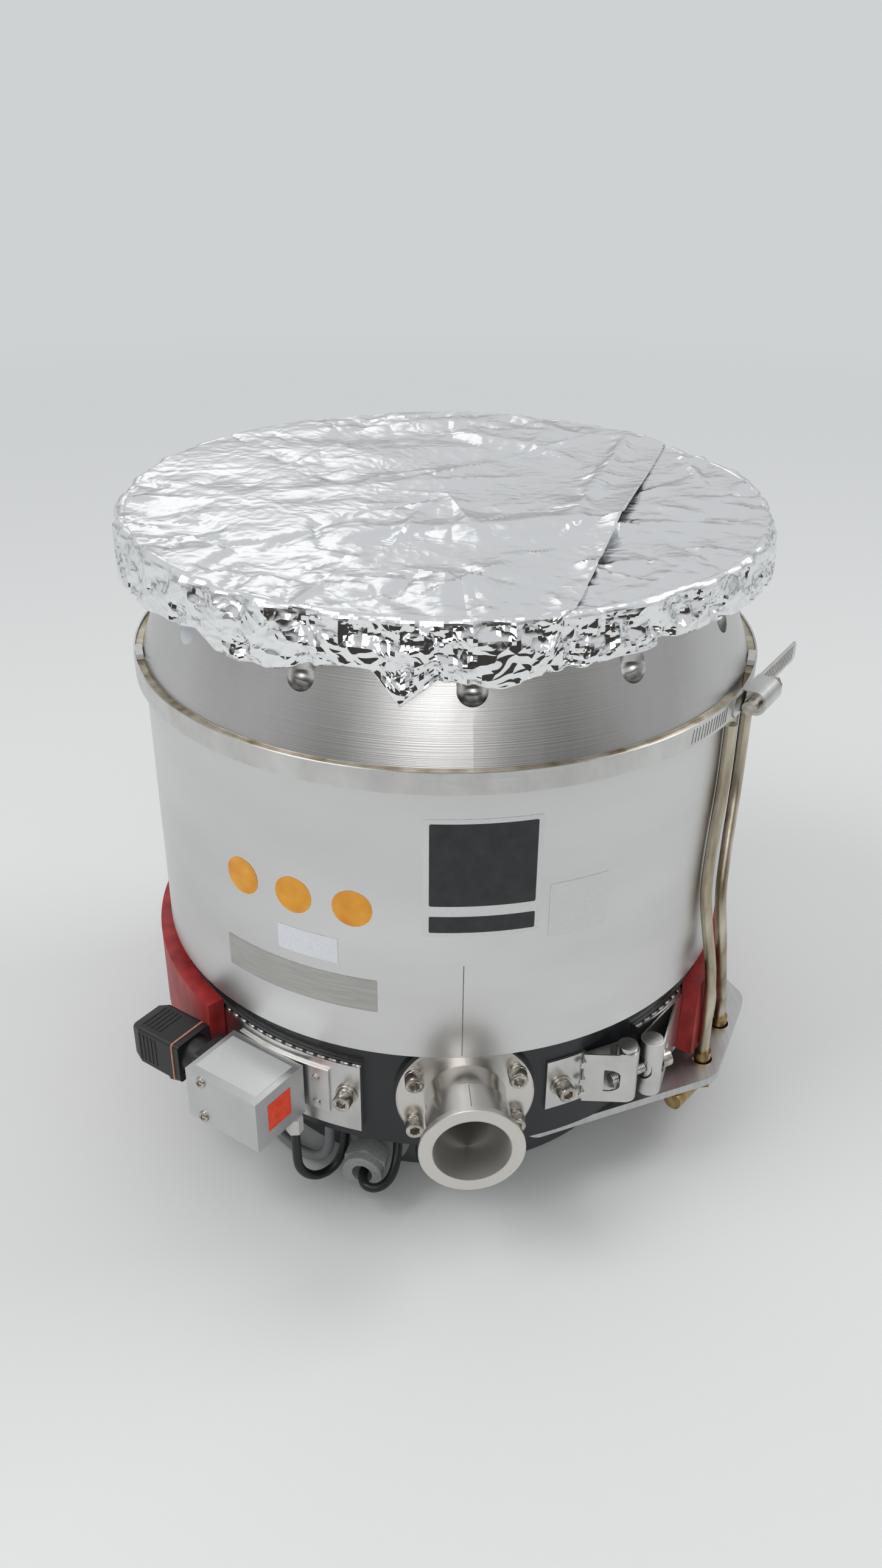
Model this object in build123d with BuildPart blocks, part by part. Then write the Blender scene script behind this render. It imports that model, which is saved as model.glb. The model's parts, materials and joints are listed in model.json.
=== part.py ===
from build123d import *
from math import cos, degrees, pi, radians, sin, sqrt, tan
import os

# Turbomolecular vacuum pump with a DN 250 inlet flange and a DN 40 exhaust port.
# The origin is the middle of the standing face, +Z is the rotor axis, pointing at the inlet,
# and the exhaust port points along -Y. Azimuths are degrees from -Y towards +X.

os.makedirs("parts", exist_ok=True)

# ---------------------------------------------------------------- driving dimensions (mm)
lower_housing_radius = 124.0
lower_housing_height = 51.0
lower_housing_wall = 10.0
cover_thickness = 10.0
base_radius = 159.5
base_height = 69.0
base_floor = 15.0
base_wall_radius = 125.0
casing_radius = 167.5
casing_height = 166.0
casing_bore = 137.0
neck_height = 64.0
neck_radius = 146.0
neck_collar = 6.0
flange_thickness = 15.0
inlet_bore = 130.5
inlet_bolt_circle = 155.0
inlet_bolt_hole = 5.5
inlet_bolt_count = 12
bolt_pocket_radius = 7.3
bolt_pocket_depth = 25.0
edge_chamfer = 1.0

rotor_stages = 6
stage_pitch = 28.0
blades_per_stage = 16
rotor_hub_radius = 86.0
rotor_tip_radius = 127.0
rotor_wall = 12.0
drum_radius = 118.0
drum_wall = 8.0
drum_length = 46.0
shaft_radius = 14.0
rotor_sleeve_radius = 24.0
thrust_disc_radius = 38.0
column_radius = 70.0
column_bore = 46.0
blade_thickness = 2.2
rotor_blade_chord = 13.0
stator_blade_chord = 11.0
blade_angle = 38.0
spacer_bore = 128.5
disc_rim_thickness = 2.0

port_rise = 39.0
port_flange_radius = 37.0
port_flange_thickness = 8.6
port_recess = 4.5
port_length = 48.0
port_bore = 20.25
port_tube_radius = 22.5
port_rim_radius = 27.5
port_rim_land = 3.0
port_screw_circle = 31.5
port_screw_angle = 29.9

band_rise = 9.0
band_width = 45.0
band_thickness = 4.4
band_start = 37.0
band_end = 340.2
strip_rise = 11.0
strip_width = 50.0
strip_thickness = 10.0
strip_start = 52.5
strip_end = 307.5

cooling_tube_radius = 3.2
flat_tube_thickness = 3.8
flat_tube_width = 9.0
front_tube_azimuth = 54.5
rear_tube_azimuth = 67.0
clamp_band_width = 11.4
clamp_band_thickness = 0.9
worm_azimuth = 53.0
worm_radius = 5.0
worm_housing_length = 22.0
clamp_tail_length = 90.0

plate_thickness = 5.0
plate_inner_radius = 126.0
ferrule_hole_radius = 6.0

box_azimuth = -39.3
box_width = 50.0
box_depth = 38.0
box_height = 33.0
box_rise = 16.0
box_gap = 0.75
sheet = 1.5
plug_size = 26.0
plug_length = 31.0
socket_length = 19.4
plug_out = 16.1

gland_azimuth = -20.5
gland_height = 23.0
gland_reach = 36.0

heater_cord_radius = 2.6
sensor_cord_radius = 3.0
base_cord_radius = 2.6

foil_thickness = 0.7
foil_skirt_low = 337.0
foil_skirt_thickness = 2.6
free_edge_azimuth = 69.5
free_edge_distance = 98.6

# clearances
slip = 0.2
hidden_fit = 0.05
foil_gap = 0.5
blade_gap = 1.5
running_gap = 0.06
screw_gap = 0.3

# ---------------------------------------------------------------- levels and shared values
base_low = lower_housing_height
casing_low = base_low + base_height
casing_top = casing_low + casing_height
flange_low = casing_top + neck_height
inlet_face = flange_low + flange_thickness
spigot_radius = casing_bore - slip
spigot_top = casing_low + 4.0
stack_top = inlet_face - 20.0
first_stage = stack_top - 19.0
drum_low = spigot_top + 6.0
drum_top = drum_low + drum_length
base_cavity_low = base_low + base_floor
column_top = stack_top - 33.0
band_radius = base_radius + slip
band_outer = band_radius + band_thickness
strip_inner = band_outer + 0.4
strip_outer = strip_inner + strip_thickness
port_height = base_low + port_rise
port_face = base_radius - port_recess
port_reach = port_face + port_length
band_low = base_low + band_rise
strip_low = base_low + strip_rise
box_low = base_low + box_rise
box_inner = band_outer + hidden_fit + sheet + box_gap
port_screw_radius = 3.0
screw_hole_radius = port_screw_radius + screw_gap


def outward(azimuth, radius, height=0.0):
    """Point at this azimuth, distance from the pump axis, and height."""
    return Vector(radius * sin(radians(azimuth)), -radius * cos(radians(azimuth)), height)


def section_plane(azimuth, height=0.0):
    """Upright plane through the pump axis: x runs outward at this azimuth, y runs up."""
    direction = outward(azimuth, 1)
    return Plane(origin=(0, 0, height), x_dir=direction, z_dir=direction.cross(Vector(0, 0, 1)))


def standing_plane(azimuth, radius, height):
    """Plane facing outward: x runs round the pump with the azimuth, y runs up."""
    side = (cos(radians(azimuth)), sin(radians(azimuth)), 0)
    return Plane(origin=outward(azimuth, radius, height), x_dir=side, z_dir=outward(azimuth, 1))


def ring_sector(inner, outer, low, high, start, end):
    """Upright curved strip round the pump axis, from one azimuth to the other."""
    with BuildPart() as sector:
        with BuildSketch(section_plane(start)):
            with Locations(((inner + outer) / 2, (low + high) / 2)):
                Rectangle(outer - inner, high - low)
        revolve(axis=Axis.Z, revolution_arc=end - start)
    return sector.part


def turned(points, plane=section_plane(0), axis=Axis.Z):
    """Solid of revolution from a closed outline of (radius, height) points."""
    with BuildPart() as body:
        with BuildSketch(plane):
            with BuildLine():
                Polyline(*points, close=True)
            make_face()
        revolve(axis=axis)
    return body.part


def socket_screw(plane, head_radius, head_height, shank_radius, shank_length):
    """Hexagon-socket cap screw: the plane is the face under its head."""
    with BuildPart() as screw:
        with BuildSketch(plane):
            Circle(head_radius)
        extrude(amount=head_height)
        with BuildSketch(plane):
            Circle(shank_radius)
        extrude(amount=-shank_length)
        with BuildSketch(plane.offset(head_height)):
            RegularPolygon(head_radius * 0.55, 6)
        extrude(amount=-head_height * 0.5, mode=Mode.SUBTRACT)
    return screw.part


def cord_radii(points):
    """Largest tangent arc for each corner of a cord's route."""
    route = [Vector(*point) for point in points]
    radii = []
    for before, here, after in zip(route, route[1:], route[2:]):
        turn = (here - before).get_angle(after - here)
        shorter = min((here - before).length, (after - here).length)
        radii.append(0.45 * shorter / tan(radians(turn) / 2))
    return radii


def round_sweep(points, radius, name):
    """Round bar along straight runs joined by tangent arcs, with its volume checked."""
    radii = cord_radii(points)
    with BuildPart() as bar:
        with BuildLine() as path:
            FilletPolyline(*points, radius=radii)
        with BuildSketch(Plane(origin=path.wire() @ 0, z_dir=path.wire() % 0)):
            Circle(radius)
        sweep()
    length = path.wire().length
    ratio = bar.part.volume / (pi * radius**2 * length)
    print(f"{name}: length {length:.1f}, volume ratio {ratio:.4f}, radii",
          [round(value, 1) for value in radii])
    return bar.part


def write(part, name):
    """Label one node and write its STEP file."""
    part.label = name
    export_step(part, f"parts/{name}.step")


# ---------------------------------------------------------------- exhaust port frame
port_plane = section_plane(0, port_height)
port_axis = Axis((0, 0, port_height), (0, -1, 0))
port_screw_places = [
    (port_screw_circle * cos(radians(angle)), port_screw_circle * sin(radians(angle)))
    for angle in (port_screw_angle, 180 - port_screw_angle, 180 + port_screw_angle, -port_screw_angle)
]


def port_face_plane(distance):
    """Plane square to the exhaust port, at this distance from the pump axis."""
    return Plane(origin=(0, -distance, port_height), x_dir=(1, 0, 0), z_dir=(0, -1, 0))


# ---------------------------------------------------------------- housings
gland_plane = standing_plane(gland_azimuth, lower_housing_radius, gland_height)
gland_thread_radius = 9.9
gland_pad = 2.0
gland_pad_width = 42.0

with BuildPart() as bottom_cover:
    with BuildSketch():
        Circle(lower_housing_radius)
    extrude(amount=cover_thickness)
    chamfer(bottom_cover.edges().group_by(Axis.Z)[0], edge_chamfer)
write(bottom_cover.part, "bottom_cover")

with BuildPart() as lower_housing:
    with BuildSketch(Plane.XY.offset(cover_thickness)):
        Circle(lower_housing_radius)
    extrude(amount=lower_housing_height - cover_thickness)
    with BuildSketch(gland_plane.offset(-lower_housing_wall)):
        Rectangle(gland_pad_width, 2 * (gland_height - cover_thickness))
    extrude(amount=lower_housing_wall + gland_pad)
    with BuildSketch(Plane.XY.offset(cover_thickness)):
        Circle(lower_housing_radius - lower_housing_wall)
    extrude(amount=lower_housing_height - cover_thickness, mode=Mode.SUBTRACT)
    with BuildSketch(gland_plane.offset(-3 * lower_housing_wall)):
        Circle(gland_thread_radius + hidden_fit)
    extrude(amount=4 * lower_housing_wall, mode=Mode.SUBTRACT)
write(lower_housing.part, "lower_housing")

# The plate's screws, and the two screws of the heater band, go into this casting.
plate_screw_circle = (base_wall_radius + base_radius) / 2
plate_screw_azimuths = (22, 50, 78, 104)
band_screw_azimuths = (-22.5, 19.3)
band_screw_height = base_low + 34.0
o_ring_section = 1.35
groove_width = 3.4
groove_depth = 2.8
casing_o_ring_radius = spigot_radius + 10.2
port_o_ring_radius = 25.0

with BuildPart() as base_housing:
    with BuildSketch(Plane.XY.offset(base_low)):
        Circle(base_radius)
    extrude(amount=base_height)
    with BuildSketch(Plane.XY.offset(casing_low)):
        Circle(spigot_radius)
    extrude(amount=spigot_top - casing_low)
    with BuildSketch(Plane.XY.offset(base_cavity_low)):
        Circle(base_wall_radius)
    extrude(amount=spigot_top - base_cavity_low, mode=Mode.SUBTRACT)
    with BuildSketch(Plane.XY.offset(base_low)):
        Circle(shaft_radius + 8)
    extrude(amount=base_floor, mode=Mode.SUBTRACT)
    with BuildSketch(Plane.XY.offset(casing_low)):
        Circle(casing_o_ring_radius + groove_width / 2)
        Circle(casing_o_ring_radius - groove_width / 2, mode=Mode.SUBTRACT)
    extrude(amount=-groove_depth, mode=Mode.SUBTRACT)
    with BuildSketch(port_face_plane(port_face)):
        Circle(port_flange_radius + 1.5)
    extrude(amount=20, mode=Mode.SUBTRACT)
    with BuildSketch(port_face_plane(base_wall_radius - 15)):
        Circle(port_bore + 0.25)
    extrude(amount=60, mode=Mode.SUBTRACT)
    with BuildSketch(port_face_plane(port_face)):
        Circle(port_o_ring_radius + groove_width / 2)
        Circle(port_o_ring_radius - groove_width / 2, mode=Mode.SUBTRACT)
    extrude(amount=-groove_depth, mode=Mode.SUBTRACT)
    with BuildSketch(port_face_plane(port_face)):
        with Locations(*port_screw_places):
            Circle(screw_hole_radius)
    extrude(amount=-13, mode=Mode.SUBTRACT)
    with BuildSketch(Plane.XY.offset(base_low)):
        with Locations(*[outward(azimuth, plate_screw_circle) for azimuth in plate_screw_azimuths]):
            Circle(screw_hole_radius)
    extrude(amount=14, mode=Mode.SUBTRACT)
    for azimuth in band_screw_azimuths:
        with BuildSketch(standing_plane(azimuth, base_radius + 1, band_screw_height)):
            Circle(screw_hole_radius)
        extrude(amount=-16, mode=Mode.SUBTRACT)
write(base_housing.part, "base_housing")

with BuildPart() as casing:
    with BuildSketch(Plane.XY.offset(casing_low)):
        Circle(casing_radius)
        Circle(casing_bore, mode=Mode.SUBTRACT)
    extrude(amount=casing_height)
    chamfer(casing.edges().group_by(Axis.Z)[0].sort_by(SortBy.LENGTH)[-1], edge_chamfer)
    with BuildSketch(port_face_plane(casing_bore + 3)):
        Circle(port_flange_radius + 1.5)
    extrude(amount=port_face + port_flange_thickness + 0.6 - casing_bore - 3, mode=Mode.SUBTRACT)
write(casing.part, "casing")

neck_low = casing_top + neck_collar
with BuildPart() as inlet_flange:
    add(turned([
        (casing_bore, casing_top), (casing_radius, casing_top), (casing_radius, neck_low),
        (neck_radius, flange_low), (casing_radius - edge_chamfer, flange_low),
        (casing_radius, flange_low + edge_chamfer), (casing_radius, inlet_face - edge_chamfer),
        (casing_radius - edge_chamfer, inlet_face), (inlet_bore, inlet_face),
        (inlet_bore, stack_top), (casing_bore, stack_top),
    ]))
    with BuildSketch(Plane.XY.offset(inlet_face)):
        with PolarLocations(inlet_bolt_circle, inlet_bolt_count):
            Circle(inlet_bolt_hole)
    extrude(amount=-flange_thickness, mode=Mode.SUBTRACT)
    with BuildSketch(Plane.XY.offset(flange_low)):
        with PolarLocations(inlet_bolt_circle, inlet_bolt_count):
            Circle(bolt_pocket_radius)
    extrude(amount=-bolt_pocket_depth, mode=Mode.SUBTRACT)
    with PolarLocations(inlet_bolt_circle, inlet_bolt_count):
        with Locations((0, 0, flange_low - bolt_pocket_depth)):
            Sphere(bolt_pocket_radius, mode=Mode.SUBTRACT)
write(inlet_flange.part, "inlet_flange")

# ---------------------------------------------------------------- exhaust port and seals
port_neck_radius = 21.0
with BuildPart() as exhaust_port:
    flange_end = port_face + port_flange_thickness
    rim_start = port_reach - port_rim_land
    cone_length = (port_rim_radius - port_tube_radius) * tan(radians(15))
    add(turned([
        (port_face, port_bore), (port_face, port_flange_radius - 0.6),
        (port_face + 0.6, port_flange_radius), (flange_end - 1, port_flange_radius),
        (flange_end, port_flange_radius - 1), (flange_end, port_neck_radius + 1),
        (flange_end + 12, port_neck_radius), (flange_end + 14, port_tube_radius),
        (rim_start - cone_length, port_tube_radius), (rim_start, port_rim_radius),
        (port_reach - 0.4, port_rim_radius), (port_reach, port_rim_radius - 0.4),
        (port_reach, port_bore),
    ], port_plane, port_axis))
    with BuildSketch(port_face_plane(port_face)):
        with Locations(*port_screw_places):
            Circle(screw_hole_radius)
    extrude(amount=port_flange_thickness, mode=Mode.SUBTRACT)
write(exhaust_port.part, "exhaust_port")

washer_thickness = 1.6
with BuildPart() as exhaust_screws:
    for across, up in port_screw_places:
        seat = port_face_plane(port_face + port_flange_thickness + hidden_fit)
        seat = Plane(origin=seat.from_local_coords((across, up, 0)), x_dir=(1, 0, 0), z_dir=(0, -1, 0))
        with BuildSketch(seat):
            Circle(5.2)
        extrude(amount=washer_thickness)
        add(socket_screw(seat.offset(washer_thickness), 5.0, 6.0, port_screw_radius, 20.0))
write(exhaust_screws.part, "exhaust_screws")

with BuildPart() as o_rings:
    with BuildSketch(section_plane(0)):
        with Locations((casing_o_ring_radius, casing_low - groove_depth / 2)):
            RegularPolygon(o_ring_section, 8)
    revolve(axis=Axis.Z)
    with BuildSketch(port_plane):
        with Locations((port_face - groove_depth / 2, port_o_ring_radius)):
            RegularPolygon(o_ring_section, 8)
    revolve(axis=port_axis)
write(o_rings.part, "o_rings")

# ---------------------------------------------------------------- stator stack
stage_levels = [first_stage - stage * stage_pitch for stage in range(rotor_stages)]
stator_levels = [level - stage_pitch / 2 for level in stage_levels[:-1]]
stack_radius = casing_bore - slip


def blade_ring(level, inner, outer, chord, tilt):
    """One ring of flat, tilted blades between two radii."""
    length = outer - inner
    with BuildPart() as ring:
        with Locations((0, 0, level)):
            with PolarLocations(inner + length / 2, blades_per_stage):
                Box(length, blade_thickness, chord, rotation=(tilt, 0, 0))
    return ring.part


for number, level in enumerate(stator_levels, start=1):
    with BuildPart() as stator_disc:
        add(ring_sector(spacer_bore - 1.5, stack_radius, level - disc_rim_thickness / 2,
                        level + disc_rim_thickness / 2, 0, 360))
        add(ring_sector(rotor_hub_radius + blade_gap, rotor_hub_radius + blade_gap + 3,
                        level - 2, level + 2, 0, 360))
        add(blade_ring(level, rotor_hub_radius + blade_gap + 1.5, spacer_bore - 0.3,
                       stator_blade_chord, 90 - blade_angle))
    write(stator_disc.part, f"stator_disc_{number}")

threaded_top = stator_levels[-1] - disc_rim_thickness / 2
threaded_step = drum_top + 4
screen_thickness = 1.2
with BuildPart() as spacer_rings:
    edges_down = [stack_top - screen_thickness]
    edges_down += [level - disc_rim_thickness / 2 for level in stator_levels[:-1]]
    edges_up = [level + disc_rim_thickness / 2 for level in stator_levels]
    for high, low in zip(edges_down, edges_up):
        add(ring_sector(spacer_bore, stack_radius, low, high, 0, 360))
write(spacer_rings.part, "spacer_rings")

with BuildPart() as threaded_stator:
    add(turned([
        (drum_radius + 0.8, spigot_top), (stack_radius, spigot_top), (stack_radius, threaded_top),
        (spacer_bore, threaded_top), (spacer_bore, threaded_step), (drum_radius + 0.8, threaded_step),
    ]))
write(threaded_stator.part, "threaded_stator")

screen_bar = 1.4
screen_pitch = 32.0
with BuildPart() as inlet_screen:
    with BuildSketch(Plane.XY.offset(stack_top - screen_thickness)):
        Circle(stack_radius)
        Circle(inlet_bore - 4, mode=Mode.SUBTRACT)
        with GridLocations(0, screen_pitch, 1, 7):
            Rectangle(2 * stack_radius, screen_bar)
        with GridLocations(screen_pitch, 0, 7, 1):
            Rectangle(screen_bar, 2 * stack_radius)
        Circle(stack_radius, mode=Mode.INTERSECT)
    extrude(amount=screen_thickness)
write(inlet_screen.part, "inlet_screen")

# ---------------------------------------------------------------- bearing column
bearing_bore = rotor_sleeve_radius + 0.5
stator_radius = column_bore - hidden_fit
column_lip = 16.0
column_foot = 14.0
lower_bearing = (base_cavity_low + 46, base_cavity_low + 80)
motor_length = (base_cavity_low + 86, base_cavity_low + 170)
upper_bearing = (base_cavity_low + 178, base_cavity_low + 214)
thrust_low = base_cavity_low + 27.0
thrust_thickness = 4.0
touchdown_radius = 30.0

with BuildPart() as bearing_column:
    add(turned([
        (touchdown_radius, base_cavity_low), (column_radius + 6, base_cavity_low),
        (column_radius + 6, base_cavity_low + 8), (column_radius, base_cavity_low + 12),
        (column_radius, column_top), (touchdown_radius, column_top),
        (touchdown_radius, column_top - column_lip), (column_bore, column_top - column_lip),
        (column_bore, base_cavity_low + column_foot), (touchdown_radius, base_cavity_low + column_foot),
    ]))
write(bearing_column.part, "bearing_column")

with BuildPart() as magnetic_bearings:
    for low, high in (lower_bearing, upper_bearing):
        add(ring_sector(bearing_bore, stator_radius, low, high, 0, 360))
write(magnetic_bearings.part, "magnetic_bearings")

with BuildPart() as motor_stator:
    add(ring_sector(bearing_bore, stator_radius, *motor_length, 0, 360))
write(motor_stator.part, "motor_stator")

thrust_gap = 0.6
with BuildPart() as axial_bearing:
    add(ring_sector(shaft_radius + 4, stator_radius, base_cavity_low + column_foot,
                    thrust_low - thrust_gap, 0, 360))
    thrust_high = thrust_low + thrust_thickness + thrust_gap
    add(turned([
        (thrust_disc_radius + 1, thrust_low - thrust_gap), (stator_radius, thrust_low - thrust_gap),
        (stator_radius, thrust_high + 11), (shaft_radius + 4, thrust_high + 11),
        (shaft_radius + 4, thrust_high), (thrust_disc_radius + 1, thrust_high),
    ]))
write(axial_bearing.part, "axial_bearing")

with BuildPart() as touchdown_bearings:
    for low in (base_cavity_low + 2, column_top - 12):
        add(ring_sector(shaft_radius + 0.3, touchdown_radius - hidden_fit, low, low + 10, 0, 360))
write(touchdown_bearings.part, "touchdown_bearings")

# ---------------------------------------------------------------- rotor
hub_top = stack_top - 4
hub_ceiling = hub_top - 21
hub_bore = 13.0
with BuildPart() as rotor:
    inner = rotor_hub_radius - rotor_wall
    add(turned([
        (hub_bore + hidden_fit, hub_ceiling), (hub_bore + hidden_fit, hub_top - 8), (34, hub_top - 8),
        (38, hub_top), (rotor_hub_radius - 8, hub_top), (rotor_hub_radius, hub_top - 8),
        (rotor_hub_radius, drum_top), (drum_radius, drum_top), (drum_radius, drum_low),
        (drum_radius - drum_wall, drum_low), (drum_radius - drum_wall, drum_top - 8),
        (inner, drum_top - 8), (inner, hub_ceiling),
    ]))
    for level in stage_levels:
        add(blade_ring(level, rotor_hub_radius - 1.5, rotor_tip_radius, rotor_blade_chord,
                       blade_angle - 90))
write(rotor.part, "rotor")

shaft_foot = base_cavity_low + 1.0
shaft_flange_low = column_top + 1.0
with BuildPart() as rotor_shaft:
    add(turned([
        (0, shaft_foot), (shaft_radius, shaft_foot), (shaft_radius, thrust_low),
        (thrust_disc_radius, thrust_low), (thrust_disc_radius, thrust_low + thrust_thickness),
        (shaft_radius, thrust_low + thrust_thickness), (shaft_radius, shaft_flange_low),
        (28, shaft_flange_low), (28, hub_ceiling), (hub_bore, hub_ceiling),
        (hub_bore, hub_top - 8), (0, hub_top - 8),
    ]))
    with BuildSketch(Plane.XY.offset(hub_top - 8)):
        RegularPolygon(17, 6)
    extrude(amount=7)
write(rotor_shaft.part, "rotor_shaft")

with BuildPart() as rotor_sleeves:
    for low, high in (lower_bearing, motor_length, upper_bearing):
        add(ring_sector(shaft_radius + hidden_fit, rotor_sleeve_radius, low, high, 0, 360))
write(rotor_sleeves.part, "rotor_sleeves")

# ---------------------------------------------------------------- cooling tube and hose clamp
tube_inner = casing_radius + 0.1
tube_outer = tube_inner + flat_tube_thickness
tube_level = casing_top + 0.5
tube_low = tube_level - flat_tube_width / 2
tube_high = tube_level + flat_tube_width / 2
leg_low = tube_low - 6
clamp_inner = tube_outer + 0.1
clamp_outer = clamp_inner + clamp_band_thickness

with BuildPart() as cooling_ring:
    add(ring_sector(tube_inner, tube_outer, tube_low, tube_high, rear_tube_azimuth, 360 + front_tube_azimuth))
    for azimuth in (front_tube_azimuth, rear_tube_azimuth):
        with BuildSketch(standing_plane(azimuth, tube_inner + 0.1, (leg_low + tube_high) / 2)):
            Rectangle(flat_tube_width, tube_high - leg_low)
        extrude(amount=flat_tube_thickness - 0.1)
write(cooling_ring.part, "cooling_ring")

plate_low = base_low - plate_thickness
ferrule_rise = 6.0
tube_line = tube_inner + cooling_tube_radius + 0.2
front_foot = tuple(outward(56.6317, strip_outer + 3.312))[:2]
rear_foot = tuple(outward(68.2401, strip_outer + 4.8817))[:2]
front_route = [
    tuple(outward(front_tube_azimuth, tube_line, leg_low)),
    tuple(outward(54.5, tube_line, casing_low + 120)),
    tuple(outward(52.6, tube_line + 0.2, casing_low + 86)),
    tuple(outward(52.0, tube_line + 0.4, casing_low + 56)),
    tuple(outward(54.3, casing_radius + 5.5, casing_low + 28)),
    tuple(outward(54.6, strip_outer + 3.9, casing_low - 1)),
    (*front_foot, base_low + 29),
    (*front_foot, base_low + ferrule_rise),
]
rear_route = [
    tuple(outward(rear_tube_azimuth, tube_line, leg_low)),
    tuple(outward(67.0, tube_line, casing_low + 102)),
    tuple(outward(61.4, tube_line + 1.2, casing_low + 70)),
    tuple(outward(57.6, casing_radius + 7.1, casing_low + 47)),
    tuple(outward(57.4, strip_outer + 4.1, casing_low + 21)),
    tuple(outward(61.4, strip_outer + 4.7, base_low + 53)),
    (*rear_foot, base_low + 19),
    (*rear_foot, base_low + ferrule_rise),
]
with BuildPart() as cooling_tubes:
    add(round_sweep(front_route, cooling_tube_radius, "front cooling tube"))
    add(round_sweep(rear_route, cooling_tube_radius, "rear cooling tube"))
write(cooling_tubes.part, "cooling_tubes")

with BuildPart() as tube_ferrules:
    for foot in (front_foot, rear_foot):
        with BuildSketch(Plane.XY.offset(base_low)):
            with Locations(foot):
                Circle(4.9)
        extrude(amount=ferrule_rise)
        with BuildSketch(Plane.XY.offset(plate_low)):
            with Locations(foot):
                Circle(4.6)
        extrude(amount=plate_thickness)
write(tube_ferrules.part, "tube_ferrules")

elbow_reach = 32.0
elbow_radius = 5.5
elbow_drop = 6.5
elbow_turns = (-134.0, -166.0)
with BuildPart() as water_elbows:
    for foot, turn in zip((front_foot, rear_foot), elbow_turns):
        arm = (cos(radians(turn)), sin(radians(turn)), 0)
        with BuildSketch(Plane.XY.offset(plate_low)):
            with Locations(foot):
                RegularPolygon(8.0, 6)
        extrude(amount=-elbow_drop - elbow_radius)
        with BuildSketch(Plane(origin=(foot[0], foot[1], plate_low - elbow_drop), z_dir=arm)):
            Circle(elbow_radius)
        extrude(amount=elbow_reach)
write(water_elbows.part, "water_elbows")

clip_azimuths = (-80, 71)
with BuildPart() as tube_clips:
    for azimuth in clip_azimuths:
        reach = degrees(7 / casing_radius)
        for low, high in ((tube_low - 4, tube_low - slip), (tube_high + slip, tube_high + 3.2)):
            add(ring_sector(tube_inner, tube_outer, low, high, azimuth - reach, azimuth + reach))
write(tube_clips.part, "tube_clips")

clamp_low = casing_top + 0.5 - clamp_band_width / 2
worm_side = (cos(radians(worm_azimuth)), sin(radians(worm_azimuth)), 0)
worm_line = clamp_outer + 6.6
tail_middle = clamp_outer + clamp_band_thickness / 2 - 0.2
worm_start = 12.0

with BuildPart() as clamp_band:
    add(ring_sector(clamp_inner, clamp_outer, clamp_low, clamp_low + clamp_band_width, 0, 360))
    with BuildSketch(Plane(origin=outward(worm_azimuth, tail_middle, tube_level), x_dir=worm_side,
                           z_dir=outward(worm_azimuth, 1))):
        with Locations((clamp_tail_length / 2, 0)):
            Rectangle(clamp_tail_length, clamp_band_width)
    extrude(amount=clamp_band_thickness / 2, both=True)
    chamfer(clamp_band.edges().filter_by(Axis((0, 0, 0), outward(worm_azimuth, 1))), 2.5)
write(clamp_band.part, "clamp_band")


def worm_plane(along, out=0.0):
    """Plane square to the worm: x runs outward, y runs down, z along the worm."""
    start = outward(worm_azimuth, worm_line + out, tube_level) + Vector(*worm_side) * along
    return Plane(origin=start, x_dir=outward(worm_azimuth, 1), z_dir=worm_side)


hood_wall = 1.5
hood_radius = worm_radius + running_gap + hood_wall
cheek_reach = worm_line - tail_middle + clamp_band_thickness / 2
with BuildPart() as clamp_housing:
    with BuildSketch(worm_plane(worm_start)):
        Circle(hood_radius)
        with Locations((-cheek_reach / 2, 0)):
            Rectangle(cheek_reach, 2 * hood_radius)
        Circle(worm_radius + running_gap, mode=Mode.SUBTRACT)
        with Locations((-cheek_reach + 1, 0)):
            Rectangle(2.4, clamp_band_width + 2 * slip, mode=Mode.SUBTRACT)
    extrude(amount=worm_housing_length)
write(clamp_housing.part, "clamp_housing")

with BuildPart() as clamp_screw:
    with BuildSketch(worm_plane(worm_start - 7)):
        Circle(worm_radius - 1.2)
    extrude(amount=7)
    with BuildSketch(worm_plane(worm_start)):
        Circle(worm_radius)
    extrude(amount=worm_housing_length)
    with BuildSketch(worm_plane(worm_start + worm_housing_length)):
        Circle(worm_radius - 0.9)
    extrude(amount=0.4)
    with BuildSketch(worm_plane(worm_start + worm_housing_length + 0.4)):
        RegularPolygon(worm_radius, 6)
    extrude(amount=6)
    with BuildSketch(worm_plane(worm_start + worm_housing_length + 6.4)):
        Rectangle(2 * worm_radius, 1.2)
    extrude(amount=-1.6, mode=Mode.SUBTRACT)
write(clamp_screw.part, "clamp_screw")

# ---------------------------------------------------------------- bracket plate
plate_corners = [(36, -154), (153, -114), (189.8, -41.9), (152, 58)]
plate_corner_radii = (8, 18, 15, 15)
plate_arc = [outward(azimuth, plate_inner_radius) for azimuth in (14, 63, 113)]
with BuildPart() as bracket_plate:
    with BuildSketch(Plane.XY.offset(plate_low)) as plate_outline:
        with BuildLine():
            Polyline(plate_arc[0], *plate_corners, plate_arc[2])
            ThreePointArc(plate_arc[2], plate_arc[1], plate_arc[0])
        make_face()
        for corner, radius in zip(plate_corners, plate_corner_radii):
            fillet(plate_outline.vertices().sort_by_distance((*corner, plate_low))[0], radius)
        with Locations(front_foot, rear_foot):
            Circle(ferrule_hole_radius, mode=Mode.SUBTRACT)
        with Locations(*[outward(azimuth, plate_screw_circle) for azimuth in plate_screw_azimuths]):
            Circle(screw_hole_radius, mode=Mode.SUBTRACT)
    extrude(amount=plate_thickness)
write(bracket_plate.part, "bracket_plate")

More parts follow.
